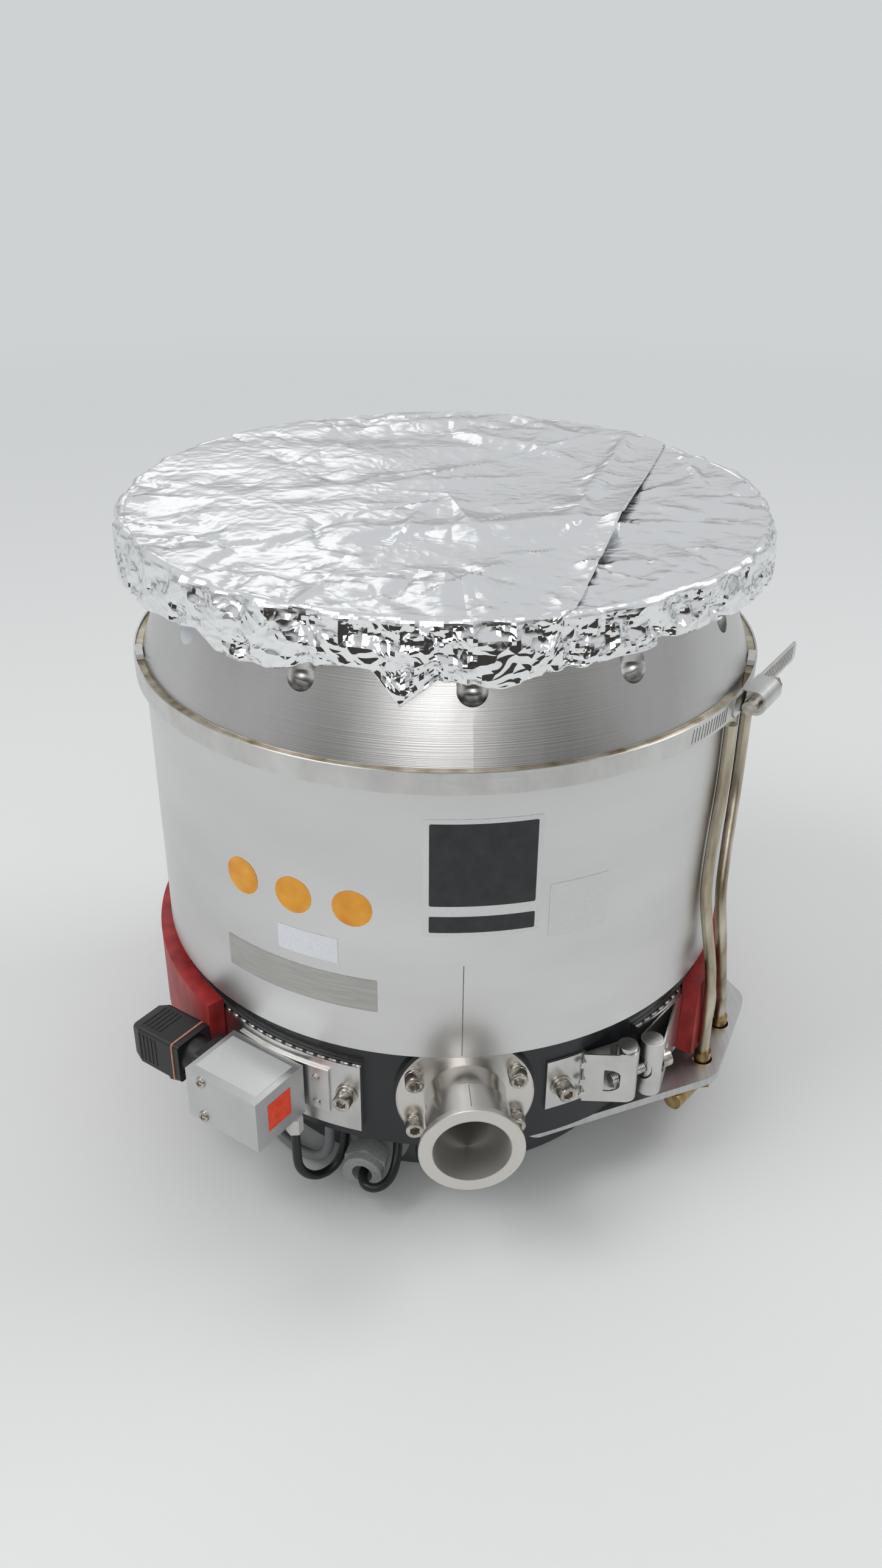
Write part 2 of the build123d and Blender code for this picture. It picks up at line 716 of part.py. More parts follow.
with BuildPart() as bracket_screws:
    for azimuth in plate_screw_azimuths:
        spot = outward(azimuth, plate_screw_circle, plate_low - hidden_fit)
        add(socket_screw(Plane(origin=spot, z_dir=(0, 0, -1)), 5.0, 6.0, port_screw_radius, 17.0))
write(bracket_screws.part, "bracket_screws")

# ---------------------------------------------------------------- heater band and its clamp
band_high = band_low + band_width
with BuildPart() as heater_band:
    add(ring_sector(band_radius, band_outer, band_low, band_high, band_start, band_end))
    with BuildSketch(standing_plane(band_screw_azimuths[0], band_outer + 2, band_screw_height)):
        Circle(screw_hole_radius)
    extrude(amount=-10, mode=Mode.SUBTRACT)
write(heater_band.part, "heater_band")

with BuildPart() as insulation_strip:
    add(ring_sector(strip_inner, strip_outer, strip_low, strip_low + strip_width, strip_start, strip_end))
write(insulation_strip.part, "insulation_strip")

anchor_inner = base_radius + slip
anchor_low = base_low + 19.0
anchor_high = anchor_low + 33.0
with BuildPart() as anchor_plate:
    add(ring_sector(anchor_inner, anchor_inner + sheet, anchor_low, anchor_high, 16.2, 24.6))
    with BuildSketch(standing_plane(band_screw_azimuths[1], anchor_inner + 5, band_screw_height)):
        Circle(screw_hole_radius)
    extrude(amount=-10, mode=Mode.SUBTRACT)
write(anchor_plate.part, "anchor_plate")

band_screw_seats = (band_outer + hidden_fit, anchor_inner + sheet + hidden_fit)
with BuildPart() as band_screws:
    for azimuth, seat_radius in zip(band_screw_azimuths, band_screw_seats):
        seat = standing_plane(azimuth, seat_radius, band_screw_height)
        for turn, disc in enumerate((6.2, 5.2)):
            with BuildSketch(seat.offset(turn * washer_thickness)):
                Circle(disc)
            extrude(amount=washer_thickness)
        add(socket_screw(seat.offset(2 * washer_thickness), 5.0, 6.0, port_screw_radius, 17.0))
write(band_screws.part, "band_screws")

# Both straps fold back round a cross barrel. The screw joins the two barrels.
barrel_radius = 5.5
strap = 1.0
barrel_gap = 0.2
anchor_barrel = outward(31.8, anchor_inner + 11.3)
band_barrel = outward(37.5, band_outer + 9.9)
latch_side = (band_barrel - anchor_barrel).normalized()
latch_span = (band_barrel - anchor_barrel).length
latch_screw_radius = 3.0


def latch_plane(along):
    """Plane square to the latch screw, this far from the anchor barrel."""
    origin = anchor_barrel + latch_side * along + Vector(0, 0, band_screw_height)
    return Plane(origin=origin, x_dir=(0, 0, 1), z_dir=latch_side)


def tear_drop(barrel, pinch, wall):
    """Outline of a strap folded round its barrel and pinched flat at its rivets."""
    with BuildSketch() as outline:
        with Locations(barrel):
            Circle(barrel_radius + barrel_gap + wall)
        with Locations(pinch):
            Circle(0.1 + wall)
        make_hull()
    return outline.sketch


def strap_loop(barrel, pinch, low, high):
    """Folded strap, open along the barrel."""
    with BuildPart() as loop:
        with BuildSketch(Plane.XY.offset(low)):
            add(tear_drop(barrel, pinch, strap))
            add(tear_drop(barrel, pinch, 0), mode=Mode.SUBTRACT)
        extrude(amount=high - low)
    return loop.part


with BuildPart() as anchor_strap:
    anchor_pinch = outward(24.2, anchor_inner + sheet + hidden_fit + strap + 0.2)
    add(strap_loop(anchor_barrel, anchor_pinch, anchor_low, anchor_high))
    with BuildSketch(latch_plane(-14)):
        SlotOverall(15, 2 * latch_screw_radius + 2)
    extrude(amount=14 + barrel_radius + 4, mode=Mode.SUBTRACT)
write(anchor_strap.part, "anchor_strap")

with BuildPart() as band_strap:
    band_pinch = outward(48.5, band_outer + hidden_fit + strap + 0.2)
    add(strap_loop(band_barrel, band_pinch, anchor_low - 3, anchor_high))
    add(ring_sector(band_outer + hidden_fit, band_outer + hidden_fit + strap, anchor_low - 3, anchor_high,
                    48.0, strip_start - 0.3))
    with BuildSketch(latch_plane(latch_span - barrel_radius - 4)):
        SlotOverall(15, 11.5)
    extrude(amount=2 * barrel_radius + 16, mode=Mode.SUBTRACT)
write(band_strap.part, "band_strap")

with BuildPart() as anchor_trunnion:
    with BuildSketch(Plane.XY.offset(anchor_low)):
        with Locations(anchor_barrel):
            Circle(barrel_radius)
    extrude(amount=anchor_high - anchor_low + 3)
    with BuildSketch(latch_plane(-10)):
        Circle(latch_screw_radius + running_gap)
    extrude(amount=20, mode=Mode.SUBTRACT)
write(anchor_trunnion.part, "anchor_trunnion")

with BuildPart() as band_trunnion:
    with BuildSketch(Plane.XY.offset(anchor_low - 3)):
        with Locations(band_barrel):
            Circle(barrel_radius)
    extrude(amount=anchor_high - anchor_low + 3)
    with BuildSketch(latch_plane(latch_span - 10)):
        Circle(latch_screw_radius + running_gap)
    extrude(amount=20, mode=Mode.SUBTRACT)
write(band_trunnion.part, "band_trunnion")

with BuildPart() as tension_screw:
    add(socket_screw(latch_plane(latch_span + barrel_radius + 0.3), 5.0, 6.0, latch_screw_radius,
                     latch_span + barrel_radius + 10.5))
write(tension_screw.part, "tension_screw")

# ---------------------------------------------------------------- terminal box and its plug
box_face = standing_plane(box_azimuth, box_inner, box_low)
box_wall = 1.5
box_middle = box_height / 2
plug_up = 19.5


def box_plane(across, up, out):
    """Plane facing outward, placed in the box's own frame: across, up from its foot, and out."""
    origin = box_face.from_local_coords((across, up, out))
    return Plane(origin=origin, x_dir=box_face.x_dir, z_dir=box_face.z_dir)


def plug_plane(along):
    """Plane square to the plug's axis, this far along it from the box's side."""
    origin = box_face.from_local_coords((-box_width / 2 - along, plug_up, plug_out))
    return Plane(origin=origin, x_dir=box_face.z_dir, z_dir=-box_face.x_dir)


with BuildPart() as terminal_box:
    with BuildSketch(box_plane(0, box_middle, 0)):
        Rectangle(box_width, box_height)
    extrude(amount=box_depth - box_wall)
    with BuildSketch(box_plane(0, box_middle, box_wall)):
        Rectangle(box_width - 2 * box_wall, box_height - 2 * box_wall)
    extrude(amount=box_depth, mode=Mode.SUBTRACT)
    with BuildSketch(plug_plane(1)):
        Circle(7)
    extrude(amount=-box_wall - 2, mode=Mode.SUBTRACT)
write(terminal_box.part, "terminal_box")

lid_screw_places = [(-14, box_height - 4.5), (-14, 4.5)]
with BuildPart() as terminal_lid:
    with BuildSketch(box_plane(0, box_middle, box_depth - box_wall)):
        Rectangle(box_width, box_height)
    extrude(amount=box_wall)
write(terminal_lid.part, "terminal_lid")

with BuildPart() as lid_screws:
    for across, up in lid_screw_places:
        with BuildSketch(box_plane(across, up, box_depth + hidden_fit)):
            Circle(3.2)
        extrude(amount=1.8)
write(lid_screws.part, "lid_screws")

tab_low = base_low + 19.0
tab_high = tab_low + 29.0
rivet_azimuth = -28.7
with BuildPart() as box_bracket:
    add(ring_sector(band_outer + hidden_fit, band_outer + hidden_fit + sheet, tab_low, tab_high,
                    box_azimuth - 8, rivet_azimuth + 2.7))
write(box_bracket.part, "box_bracket")

strap_rivet_azimuth = 23.4
with BuildPart() as rivets:
    for up in (tab_low + 4, tab_high - 8):
        with BuildSketch(standing_plane(rivet_azimuth, band_outer + sheet + 2 * hidden_fit, up)):
            Circle(2.4)
        extrude(amount=1.0)
    for up in (anchor_low + 6, band_screw_height, anchor_high - 6):
        rivet_seat = anchor_inner + sheet + 2 * strap + 4 * hidden_fit + 0.6
        with BuildSketch(standing_plane(strap_rivet_azimuth, rivet_seat, up)):
            Circle(2.0)
        extrude(amount=0.8)
write(rivets.part, "rivets")

gasket_thickness = 1.0
with BuildPart() as socket_base:
    with BuildSketch(plug_plane(hidden_fit)):
        RectangleRounded(plug_size - 2, plug_size - 1, 3)
    extrude(amount=5)
    with BuildSketch(plug_plane(5)):
        Circle(11)
    extrude(amount=socket_length - 8)
    with BuildSketch(plug_plane(socket_length - 4)):
        RectangleRounded(plug_size - 1, plug_size - 1, 2)
    extrude(amount=4 - hidden_fit)
write(socket_base.part, "socket_base")

with BuildPart() as plug_gasket:
    with BuildSketch(plug_plane(socket_length)):
        RectangleRounded(plug_size, plug_size, 2)
    extrude(amount=gasket_thickness)
write(plug_gasket.part, "plug_gasket")

plug_start = socket_length + gasket_thickness + hidden_fit
plug_screw_head = 3.2
plug_screw_shank = 1.5
plug_nut_radius = 7.0
with BuildPart() as din_plug:
    with BuildSketch(plug_plane(plug_start)):
        RectangleRounded(plug_size, plug_size, 2.5)
    extrude(amount=plug_length - 6)
    with BuildSketch(plug_plane(plug_start + plug_length - 6)):
        RectangleRounded(plug_size, plug_size, 2.5)
    with BuildSketch(plug_plane(plug_start + plug_length)):
        RectangleRounded(plug_size - 4, plug_size - 4, 2.5)
    loft()
    nut_seat = plug_plane(plug_start + 9).from_local_coords((0, 0, 0)) - Vector(0, 0, plug_size / 2)
    with BuildSketch(Plane(origin=nut_seat + Vector(0, 0, 2), z_dir=(0, 0, -1))):
        Circle(plug_nut_radius - 1)
    extrude(amount=5)
    with BuildSketch(Plane(origin=nut_seat - Vector(0, 0, 3), z_dir=(0, 0, -1))):
        RegularPolygon(plug_nut_radius, 8)
    extrude(amount=5)
    with BuildSketch(Plane(origin=nut_seat - Vector(0, 0, 8), z_dir=(0, 0, -1))):
        Circle(3.5)
    extrude(amount=-7, mode=Mode.SUBTRACT)
    with BuildSketch(plug_plane(plug_start - 1)):
        Circle(plug_screw_shank + running_gap)
    extrude(amount=plug_length + 2, mode=Mode.SUBTRACT)
write(din_plug.part, "din_plug")

with BuildPart() as plug_screw:
    with BuildSketch(plug_plane(plug_start + plug_length + hidden_fit)):
        Circle(plug_screw_head)
    extrude(amount=2.2)
    with BuildSketch(plug_plane(plug_start + plug_length + hidden_fit)):
        Circle(plug_screw_shank)
    extrude(amount=-plug_length)
    with BuildSketch(plug_plane(plug_start + plug_length + 2.2 + hidden_fit)):
        Rectangle(2 * plug_screw_head, 1.0)
    extrude(amount=-1.0, mode=Mode.SUBTRACT)
write(plug_screw.part, "plug_screw")

# ---------------------------------------------------------------- cables
heater_nut_place = (-92.0, -148.0)
heater_nut_radius = 4.75
heater_nut_length = 10.0
with BuildPart() as heater_cable_nut:
    with BuildSketch(Plane.XY.offset(box_low - hidden_fit)):
        with Locations(heater_nut_place):
            RegularPolygon(heater_nut_radius, 6)
    extrude(amount=-heater_nut_length)
write(heater_cable_nut.part, "heater_cable_nut")

heater_route = [
    (*heater_nut_place, box_low - hidden_fit - heater_nut_length), (*heater_nut_place, 42),
    (-91.2, -147.4, 26), (-82.3, -141.3, 13.5), (-71.5, -134, 13), (-65.8, -129.5, 24),
    (-64.5, -126.5, 37.5), (-64.5, -126.5, base_low),
]
sensor_route = [
    (-128, -70, base_low), (-128, -70, 39),  (-119, -84, 20), (-106, -99, 9.5), (-93, -112, 6),
    (-81, -120.5, 8), (-74.5, -124, 17), (-73.5, -122, 33), (-73.5, -122, base_low),
]
base_route = [
    (-53.3, -142.6, 23), (-56.4, -151, 22.6), (-54.6, -158.5, 22.2), (-47.5, -160.6, 22),
    (-39.8, -155, 23.5), (-35.8, -145, 29), (-35, -136, 39.5), (-35, -136, base_low),
]
with BuildPart() as heater_cable:
    add(round_sweep(heater_route, heater_cord_radius, "heater cable"))
write(heater_cable.part, "heater_cable")

with BuildPart() as sensor_cable:
    add(round_sweep(sensor_route, sensor_cord_radius, "sensor cable"))
write(sensor_cable.part, "sensor_cable")

with BuildPart() as base_cable:
    add(round_sweep(base_route, base_cord_radius, "base cable"))
write(base_cable.part, "base_cable")

gland_flat = 24.0
gland_corner = gland_flat / sqrt(3)
gland_start = gland_pad
gland_nut_length = 16.0
seal_depth = 8.0
gland_mouth = 6.0
with BuildPart() as cable_gland:
    with BuildSketch(gland_plane.offset(gland_start)):
        Circle(18)
    extrude(amount=4)
    with BuildSketch(gland_plane.offset(gland_start + 4)):
        RegularPolygon(gland_corner, 6, rotation=30)
    extrude(amount=5)
    with BuildSketch(gland_plane.offset(gland_start + 9)):
        Circle(gland_thread_radius + 1)
    extrude(amount=gland_reach - gland_start - 9 - gland_nut_length)
    with BuildSketch(gland_plane.offset(gland_start)):
        Circle(gland_thread_radius)
    extrude(amount=-lower_housing_wall)
write(cable_gland.part, "cable_gland")

with BuildPart() as gland_nut:
    with BuildSketch(gland_plane.offset(gland_reach - gland_nut_length)):
        RegularPolygon(gland_corner, 6, rotation=30)
    extrude(amount=gland_nut_length - 5)
    with BuildSketch(gland_plane.offset(gland_reach - 5)):
        Circle(gland_flat / 2 - 0.3)
    extrude(amount=5)
    with BuildSketch(gland_plane.offset(gland_reach)):
        Circle(gland_mouth)
    extrude(amount=-seal_depth, mode=Mode.SUBTRACT)
write(gland_nut.part, "gland_nut")

# ---------------------------------------------------------------- foil cover over the inlet
# The lower sheet wraps the whole flange. The upper one covers it up to a straight free edge.
foil_inner = casing_radius + foil_gap
foil_outer = foil_inner + foil_skirt_thickness
foil_low = inlet_face + 0.3
foil_top = foil_low + foil_thickness
sheet_gap = 0.3
with BuildPart() as foil_lower:
    add(turned([
        (0, foil_low), (foil_inner, foil_low), (foil_inner, foil_skirt_low), (foil_outer, foil_skirt_low),
        (foil_outer, foil_top - 0.3), (foil_outer - 0.3, foil_top), (0, foil_top),
    ]))
write(foil_lower.part, "foil_lower")

upper_low = foil_top + sheet_gap
upper_inner = foil_outer + sheet_gap
with BuildPart() as foil_upper:
    add(turned([
        (0, upper_low), (upper_inner, upper_low), (upper_inner, foil_skirt_low + 6),
        (upper_inner + 1, foil_skirt_low + 6), (upper_inner + 1, upper_low + foil_thickness),
        (0, upper_low + foil_thickness),
    ]))
    with BuildSketch(Plane(origin=outward(free_edge_azimuth, free_edge_distance, foil_skirt_low - 1),
                           x_dir=outward(free_edge_azimuth, 1))):
        Rectangle(casing_radius, 3 * casing_radius, align=(Align.MIN, Align.CENTER))
    extrude(amount=inlet_face, mode=Mode.SUBTRACT)
write(foil_upper.part, "foil_upper")
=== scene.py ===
# %% [markdown]
# # A turbomolecular pump under foil
# The pump is a bright aluminium can on a black base, with a sheet of kitchen foil folded over
# its inlet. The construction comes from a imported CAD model, so this lesson only gives each
# piece its look. Everything is in metres, in the CAD model's own frame: +Z is the rotor axis
# and the exhaust port points along -Y. Azimuths are degrees from -Y towards +X.

# %% Load the frame
import json
import math
import bmesh
import bpy
import numpy as np
from mathutils import Matrix, Vector

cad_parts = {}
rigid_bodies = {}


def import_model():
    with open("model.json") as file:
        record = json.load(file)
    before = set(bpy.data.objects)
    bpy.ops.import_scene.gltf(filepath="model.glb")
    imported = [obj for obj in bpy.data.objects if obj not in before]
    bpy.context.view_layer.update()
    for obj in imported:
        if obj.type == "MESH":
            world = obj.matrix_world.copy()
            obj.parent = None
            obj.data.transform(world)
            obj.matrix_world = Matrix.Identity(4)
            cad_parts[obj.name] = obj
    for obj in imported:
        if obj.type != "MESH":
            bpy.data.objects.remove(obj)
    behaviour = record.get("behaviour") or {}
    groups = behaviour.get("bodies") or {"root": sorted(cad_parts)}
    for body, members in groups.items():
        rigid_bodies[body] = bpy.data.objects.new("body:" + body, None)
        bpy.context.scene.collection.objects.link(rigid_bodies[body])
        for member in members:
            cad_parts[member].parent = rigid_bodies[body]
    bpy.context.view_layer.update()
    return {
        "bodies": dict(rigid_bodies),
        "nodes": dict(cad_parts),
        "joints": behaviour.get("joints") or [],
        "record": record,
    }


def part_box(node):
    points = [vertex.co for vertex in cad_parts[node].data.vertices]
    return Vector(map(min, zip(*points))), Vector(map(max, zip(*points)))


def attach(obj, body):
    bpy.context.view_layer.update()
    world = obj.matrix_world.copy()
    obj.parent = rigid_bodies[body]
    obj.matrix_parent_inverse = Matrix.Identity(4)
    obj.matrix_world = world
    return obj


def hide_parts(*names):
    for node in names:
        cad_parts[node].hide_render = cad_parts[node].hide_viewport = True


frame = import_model()
nodes = frame["nodes"]

# %% [markdown]
# A shape is worked out as an array of points in millimetres, like the pump's drawing sizes,
# and is scaled to metres only when it becomes a mesh. A grid of points is the plainest surface
# there is: its rows and columns are the two parameters, and the quads follow by index.

# %% Points round the pump axis
MM = 0.001


def around(azimuth, radius, height):
    """Points at azimuth degrees, radius and height in mm: x = r sin a, y = -r cos a, z = h."""
    angle = np.radians(azimuth)
    x, y, z = np.broadcast_arrays(radius * np.sin(angle), -radius * np.cos(angle), height)
    return np.stack([x, y, z], axis=-1).astype(float)


print("port direction", around(0, 1, 0))


# %% From a grid of points to a mesh
def surface(name, grid, body, angle):
    """Quads between the rows and columns of a grid in mm, whose last column joins the first."""
    rows, columns = grid.shape[:2]
    index = np.arange(rows * columns).reshape(rows, columns)
    index = np.hstack([index, index[:, :1]])
    quads = np.stack([index[:-1, :-1], index[:-1, 1:], index[1:, 1:], index[1:, :-1]], axis=-1)
    mesh = bpy.data.meshes.new(name)
    mesh.from_pydata((grid.reshape(-1, 3) * MM).tolist(), [], quads.reshape(-1, 4).tolist())
    return settle(name, mesh, body, angle)


def settle(name, mesh, body, angle):
    """Merges doubled points, turns the faces outwards, shades them smooth up to an angle in
    degrees, and rides the piece on its body."""
    shell = bmesh.new()
    shell.from_mesh(mesh)
    bmesh.ops.remove_doubles(shell, verts=shell.verts, dist=2e-7)
    bmesh.ops.dissolve_degenerate(shell, edges=shell.edges, dist=1e-7)
    bmesh.ops.recalc_face_normals(shell, faces=shell.faces)
    shell.to_mesh(mesh)
    shell.free()
    piece = bpy.data.objects.new(name, mesh)
    bpy.context.scene.collection.objects.link(piece)
    mesh.shade_smooth()
    mesh.set_sharp_from_angle(angle=math.radians(angle))
    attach(piece, body)
    return piece


# %% Many small closed bars in one mesh
def bars(name, grids, paint, body="pump", angle=30):
    """Closed bars from an array (bars, rings, points, 3) in mm: quads between each bar's rings,
    and a face over each end."""
    count, rings_each, points = grids.shape[:3]
    index = np.arange(count * rings_each * points).reshape(count, rings_each, points)
    index = np.concatenate([index, index[:, :, :1]], axis=2)
    near, far = index[:, :-1], index[:, 1:]
    quads = np.stack([near[..., :-1], near[..., 1:], far[..., 1:], far[..., :-1]], axis=-1)
    ends = np.concatenate([index[:, 0, :-1], index[:, -1, :-1]])
    mesh = bpy.data.meshes.new(name)
    mesh.from_pydata((grids.reshape(-1, 3) * MM).tolist(), [],
                     quads.reshape(-1, 4).tolist() + ends.tolist())
    piece = settle(name, mesh, body, angle)
    mesh.materials.append(paint)
    return piece


def blocks(starts, ends):
    """Boxes between two corners each, as two rings of four points: low + (high - low) * pick."""
    low, high = np.asarray(starts, float), np.asarray(ends, float)
    square = np.array([[0, 0], [1, 0], [1, 1], [0, 1]])
    pick = np.stack([np.insert(square, 2, level, axis=1) for level in (0, 1)])
    return low[:, None, None] + (high - low)[:, None, None] * pick


print("a block has", blocks([(0, 0, 0)], [(1, 1, 1)]).shape[1:3], "rings and points")


# %% Frames that face outward
def placed(origin, x_dir, y_dir, z_dir, local):
    """Points of a part's own frame in the pump's: origin + x * x_dir + y * y_dir + z * z_dir."""
    return np.asarray(origin, float) + local @ np.array([x_dir, y_dir, z_dir], float)


def outward_frame(azimuth, radius, height):
    """Frame that faces outward: x runs round the pump, y up, z out."""
    turn = math.radians(azimuth)
    return (around(azimuth, radius, height), (math.cos(turn), math.sin(turn), 0), (0, 0, 1),
            tuple(around(azimuth, 1, 0)))


print("10 mm out at the front is", placed(*outward_frame(0, 0, 0), np.array([0.0, 0.0, 10.0])))

# %% [markdown]
# Colours are written as the sRGB hex codes that a paint chart gives, and Blender mixes light in
# linear values, so one function turns the one into the other. A second adds any shader node,
# and a third starts a material from one Principled shader.


# %% Colours, nodes and materials
def linear(code):
    """Colour of an sRGB hex code as linear RGBA, by the sRGB curve."""
    part = np.array([int(code[i:i + 2], 16) for i in (1, 3, 5)]) / 255
    part = np.where(part <= 0.04045, part / 12.92, ((part + 0.055) / 1.055) ** 2.4)
    return (*part.tolist(), 1.0)


def node(tree, kind, links=None, **settings):
    """Adds one node, sets its settings, and fills its inputs with values or with outputs."""
    made = tree.nodes.new("ShaderNode" + kind)
    for key, value in settings.items():
        setattr(made, key, value)
    for key, value in (links or {}).items():
        if isinstance(value, bpy.types.NodeSocket):
            tree.links.new(value, made.inputs[key])
        else:
            made.inputs[key].default_value = value
    return made


def material(name, colour, metallic=0.0, roughness=0.5):
    """Material with one Principled shader; returns the material, its tree and the shader."""
    made = bpy.data.materials.new(name)
    made.use_nodes = True
    shader = made.node_tree.nodes["Principled BSDF"]
    shader.inputs["Base Color"].default_value = linear(colour)
    shader.inputs["Metallic"].default_value = metallic
    shader.inputs["Roughness"].default_value = roughness
    return made, made.node_tree, shader


print("mid grey is", [round(v, 3) for v in linear("#808080")])

# %% [markdown]
# ## Camera and room
# The camera stands in front of the pump, a little left of the port, and looks down at about
# 30 degrees. Its tilt of half a degree is part of the view, so its axes are worked out from
# the way it looks and turned by that much, which is plainer than three angles.

# %% Camera
camera_place = Vector((-56.1, -692.3, 584.5)) * MM
looking = Vector((0.0681, 0.8662, -0.4951)).normalized()
camera_roll = 0.0094
level = looking.cross(Vector((0, 0, 1))).normalized()
upward = level.cross(looking)
right = level * math.cos(camera_roll) + upward * math.sin(camera_roll)
up = upward * math.cos(camera_roll) - level * math.sin(camera_roll)
camera_data = bpy.data.cameras.new("camera")
camera_data.lens = 30.47
camera_data.sensor_width = 36.0
camera = bpy.data.objects.new("camera", camera_data)
turn = Matrix((right, up, -looking)).transposed().to_4x4()
camera.matrix_world = Matrix.Translation(camera_place) @ turn
bpy.context.scene.collection.objects.link(camera)
bpy.context.scene.camera = camera
print("camera looks down", round(math.degrees(math.asin(-looking.z)), 1), "degrees")

# %% [markdown]
# A bright metal object shows its surroundings more than its own colour, so the light is a room
# in little: a pale world, a pale floor, and large soft lamps. The floor turns into an even pale
# backdrop away from the pump, which hides its far edge better than a curved sheet would.

# %% Floor
scene = bpy.context.scene
scene.view_settings.view_transform = "Standard"
backdrop_grey = linear("#CFD2D3")
reach = 30.0
fade_start, fade_end = 0.55, 2.4
floor_mesh = bpy.data.meshes.new("floor")
floor_mesh.from_pydata([(-reach, -reach, 0), (reach, -reach, 0), (reach, reach, 0),
                        (-reach, reach, 0)], [], [(0, 1, 2, 3)])
floor = bpy.data.objects.new("floor", floor_mesh)
scene.collection.objects.link(floor)
floor_paint, tree, shader = material("pale_floor", "#DCDDDC", roughness=0.6)
floor_mesh.materials.append(floor_paint)
spot = node(tree, "VectorMath", {0: node(tree, "TexCoord").outputs["Object"]}, operation="LENGTH")
fade = node(tree, "MapRange", {"Value": spot.outputs["Value"], "From Min": fade_start,
                               "From Max": fade_end})
backdrop = node(tree, "Emission", {"Color": backdrop_grey, "Strength": 1.0})
blend = node(tree, "MixShader", {0: fade.outputs[0], 1: shader.outputs[0], 2: backdrop.outputs[0]})
tree.links.new(blend.outputs[0], tree.nodes["Material Output"].inputs["Surface"])
print("the floor fades between", fade_start, "and", fade_end, "m from the pump")

# %% World
world = bpy.data.worlds.new("room")
world.use_nodes = True
scene.world = world
sky = world.node_tree
height = node(sky, "SeparateXYZ", {0: node(sky, "TexCoord").outputs["Generated"]})
bands = node(sky, "ValToRGB", {0: height.outputs["Z"]})
for element, position, code in zip(bands.color_ramp.elements, (0.0, 0.28), ("#A9ABAB", "#F4F6F8")):
    element.color, element.position = linear(code), position
# The side of the room behind the camera is darker, low down. Bright metal needs it for contrast.
behind = node(sky, "MapRange", {"Value": height.outputs["Y"], "From Min": -0.95, "From Max": -0.35})
low_down = node(sky, "MapRange", {"Value": height.outputs["Z"], "From Min": 0.05, "From Max": 0.5})
shade = node(sky, "Math", {0: behind.outputs[0], 1: low_down.outputs[0]}, operation="MAXIMUM")
room = node(sky, "Mix", {"Factor": shade.outputs[0], 6: linear("#46423F"), 7: bands.outputs[0]},
            data_type="RGBA")
backing = sky.nodes["Background"]
sky.links.new(room.outputs[2], backing.inputs["Color"])
backing.inputs["Strength"].default_value = 0.7
# Above the far floor the camera sees the same pale backdrop.
far_wall = node(sky, "Background", {"Color": backdrop_grey, "Strength": 1.0})
chosen = node(sky, "MixShader", {0: node(sky, "LightPath").outputs["Is Camera Ray"],
                                 1: backing.outputs[0], 2: far_wall.outputs[0]})
sky.links.new(chosen.outputs[0], sky.nodes["World Output"].inputs["Surface"])
print("world strength", backing.inputs["Strength"].default_value)


# %% Lamps
def lamp(name, place, target, size, power):
    """Square soft lamp at a place in metres, turned to its target, and not seen itself."""
    light = bpy.data.lights.new(name, "AREA")
    light.size = size
    light.energy = power
    made = bpy.data.objects.new(name, light)
    made.location = place
    made.rotation_euler = (Vector(target) - Vector(place)).to_track_quat("-Z", "Y").to_euler()
    made.visible_camera = False
    scene.collection.objects.link(made)


pump_middle, foil_middle = (0, 0, 0.2), (0, 0, 0.35)
lamp("ceiling_left", (-1.3, -0.5, 1.9), pump_middle, 1.0, 16)
lamp("ceiling_right", (1.5, 0.3, 1.8), pump_middle, 0.8, 11)
lamp("window", (-0.3, -2.2, 1.3), pump_middle, 1.2, 9)
# The foil mirrors this one, and it lights only the creases that lean towards it.
lamp("back_window", (-0.4, 2.3, 1.75), foil_middle, 1.0, 1.6)
print(len(bpy.data.lights), "lamps")

# %% [markdown]
# Foil and polished steel look bright because something dark is mirrored beside the light. A
# studio stands a dark card in front for that. Here only reflections see the card, so it
# neither hides the pump nor throws a shadow.

# %% Dark card
card_y, card_half, card_foot, card_top = -0.95, 1.1, 0.01, 0.42
card_mesh = bpy.data.meshes.new("dark_card")
card_mesh.from_pydata([(-card_half, card_y, card_foot), (card_half, card_y, card_foot),
                       (card_half, card_y, card_top), (-card_half, card_y, card_top)],
                      [], [(0, 1, 2, 3)])
card_mesh.materials.append(material("dark_card_paper", "#3B3733", roughness=0.9)[0])
card = bpy.data.objects.new("dark_card", card_mesh)
card.visible_camera = card.visible_diffuse = False
card.visible_shadow = card.visible_transmission = False
scene.collection.objects.link(card)
print("card", 2 * card_half, "m wide")

# %% [markdown]
# ## Finishes
# Each finish starts from what the real surface is. Bare metals differ mostly in roughness and
# in the marks of the tool: a lathe leaves fine rings, a brush leaves streaks, rolling leaves a
# soft mottle. Scanned pictures could give them, but noise stretched along an axis does it with
# no file and at any size. It reads Object coordinates, so it stays with the metal as it turns.


# %% Where a pattern lies
def fixed(tree):
    """Position on the pump, in metres."""
    return node(tree, "TexCoord").outputs["Object"]


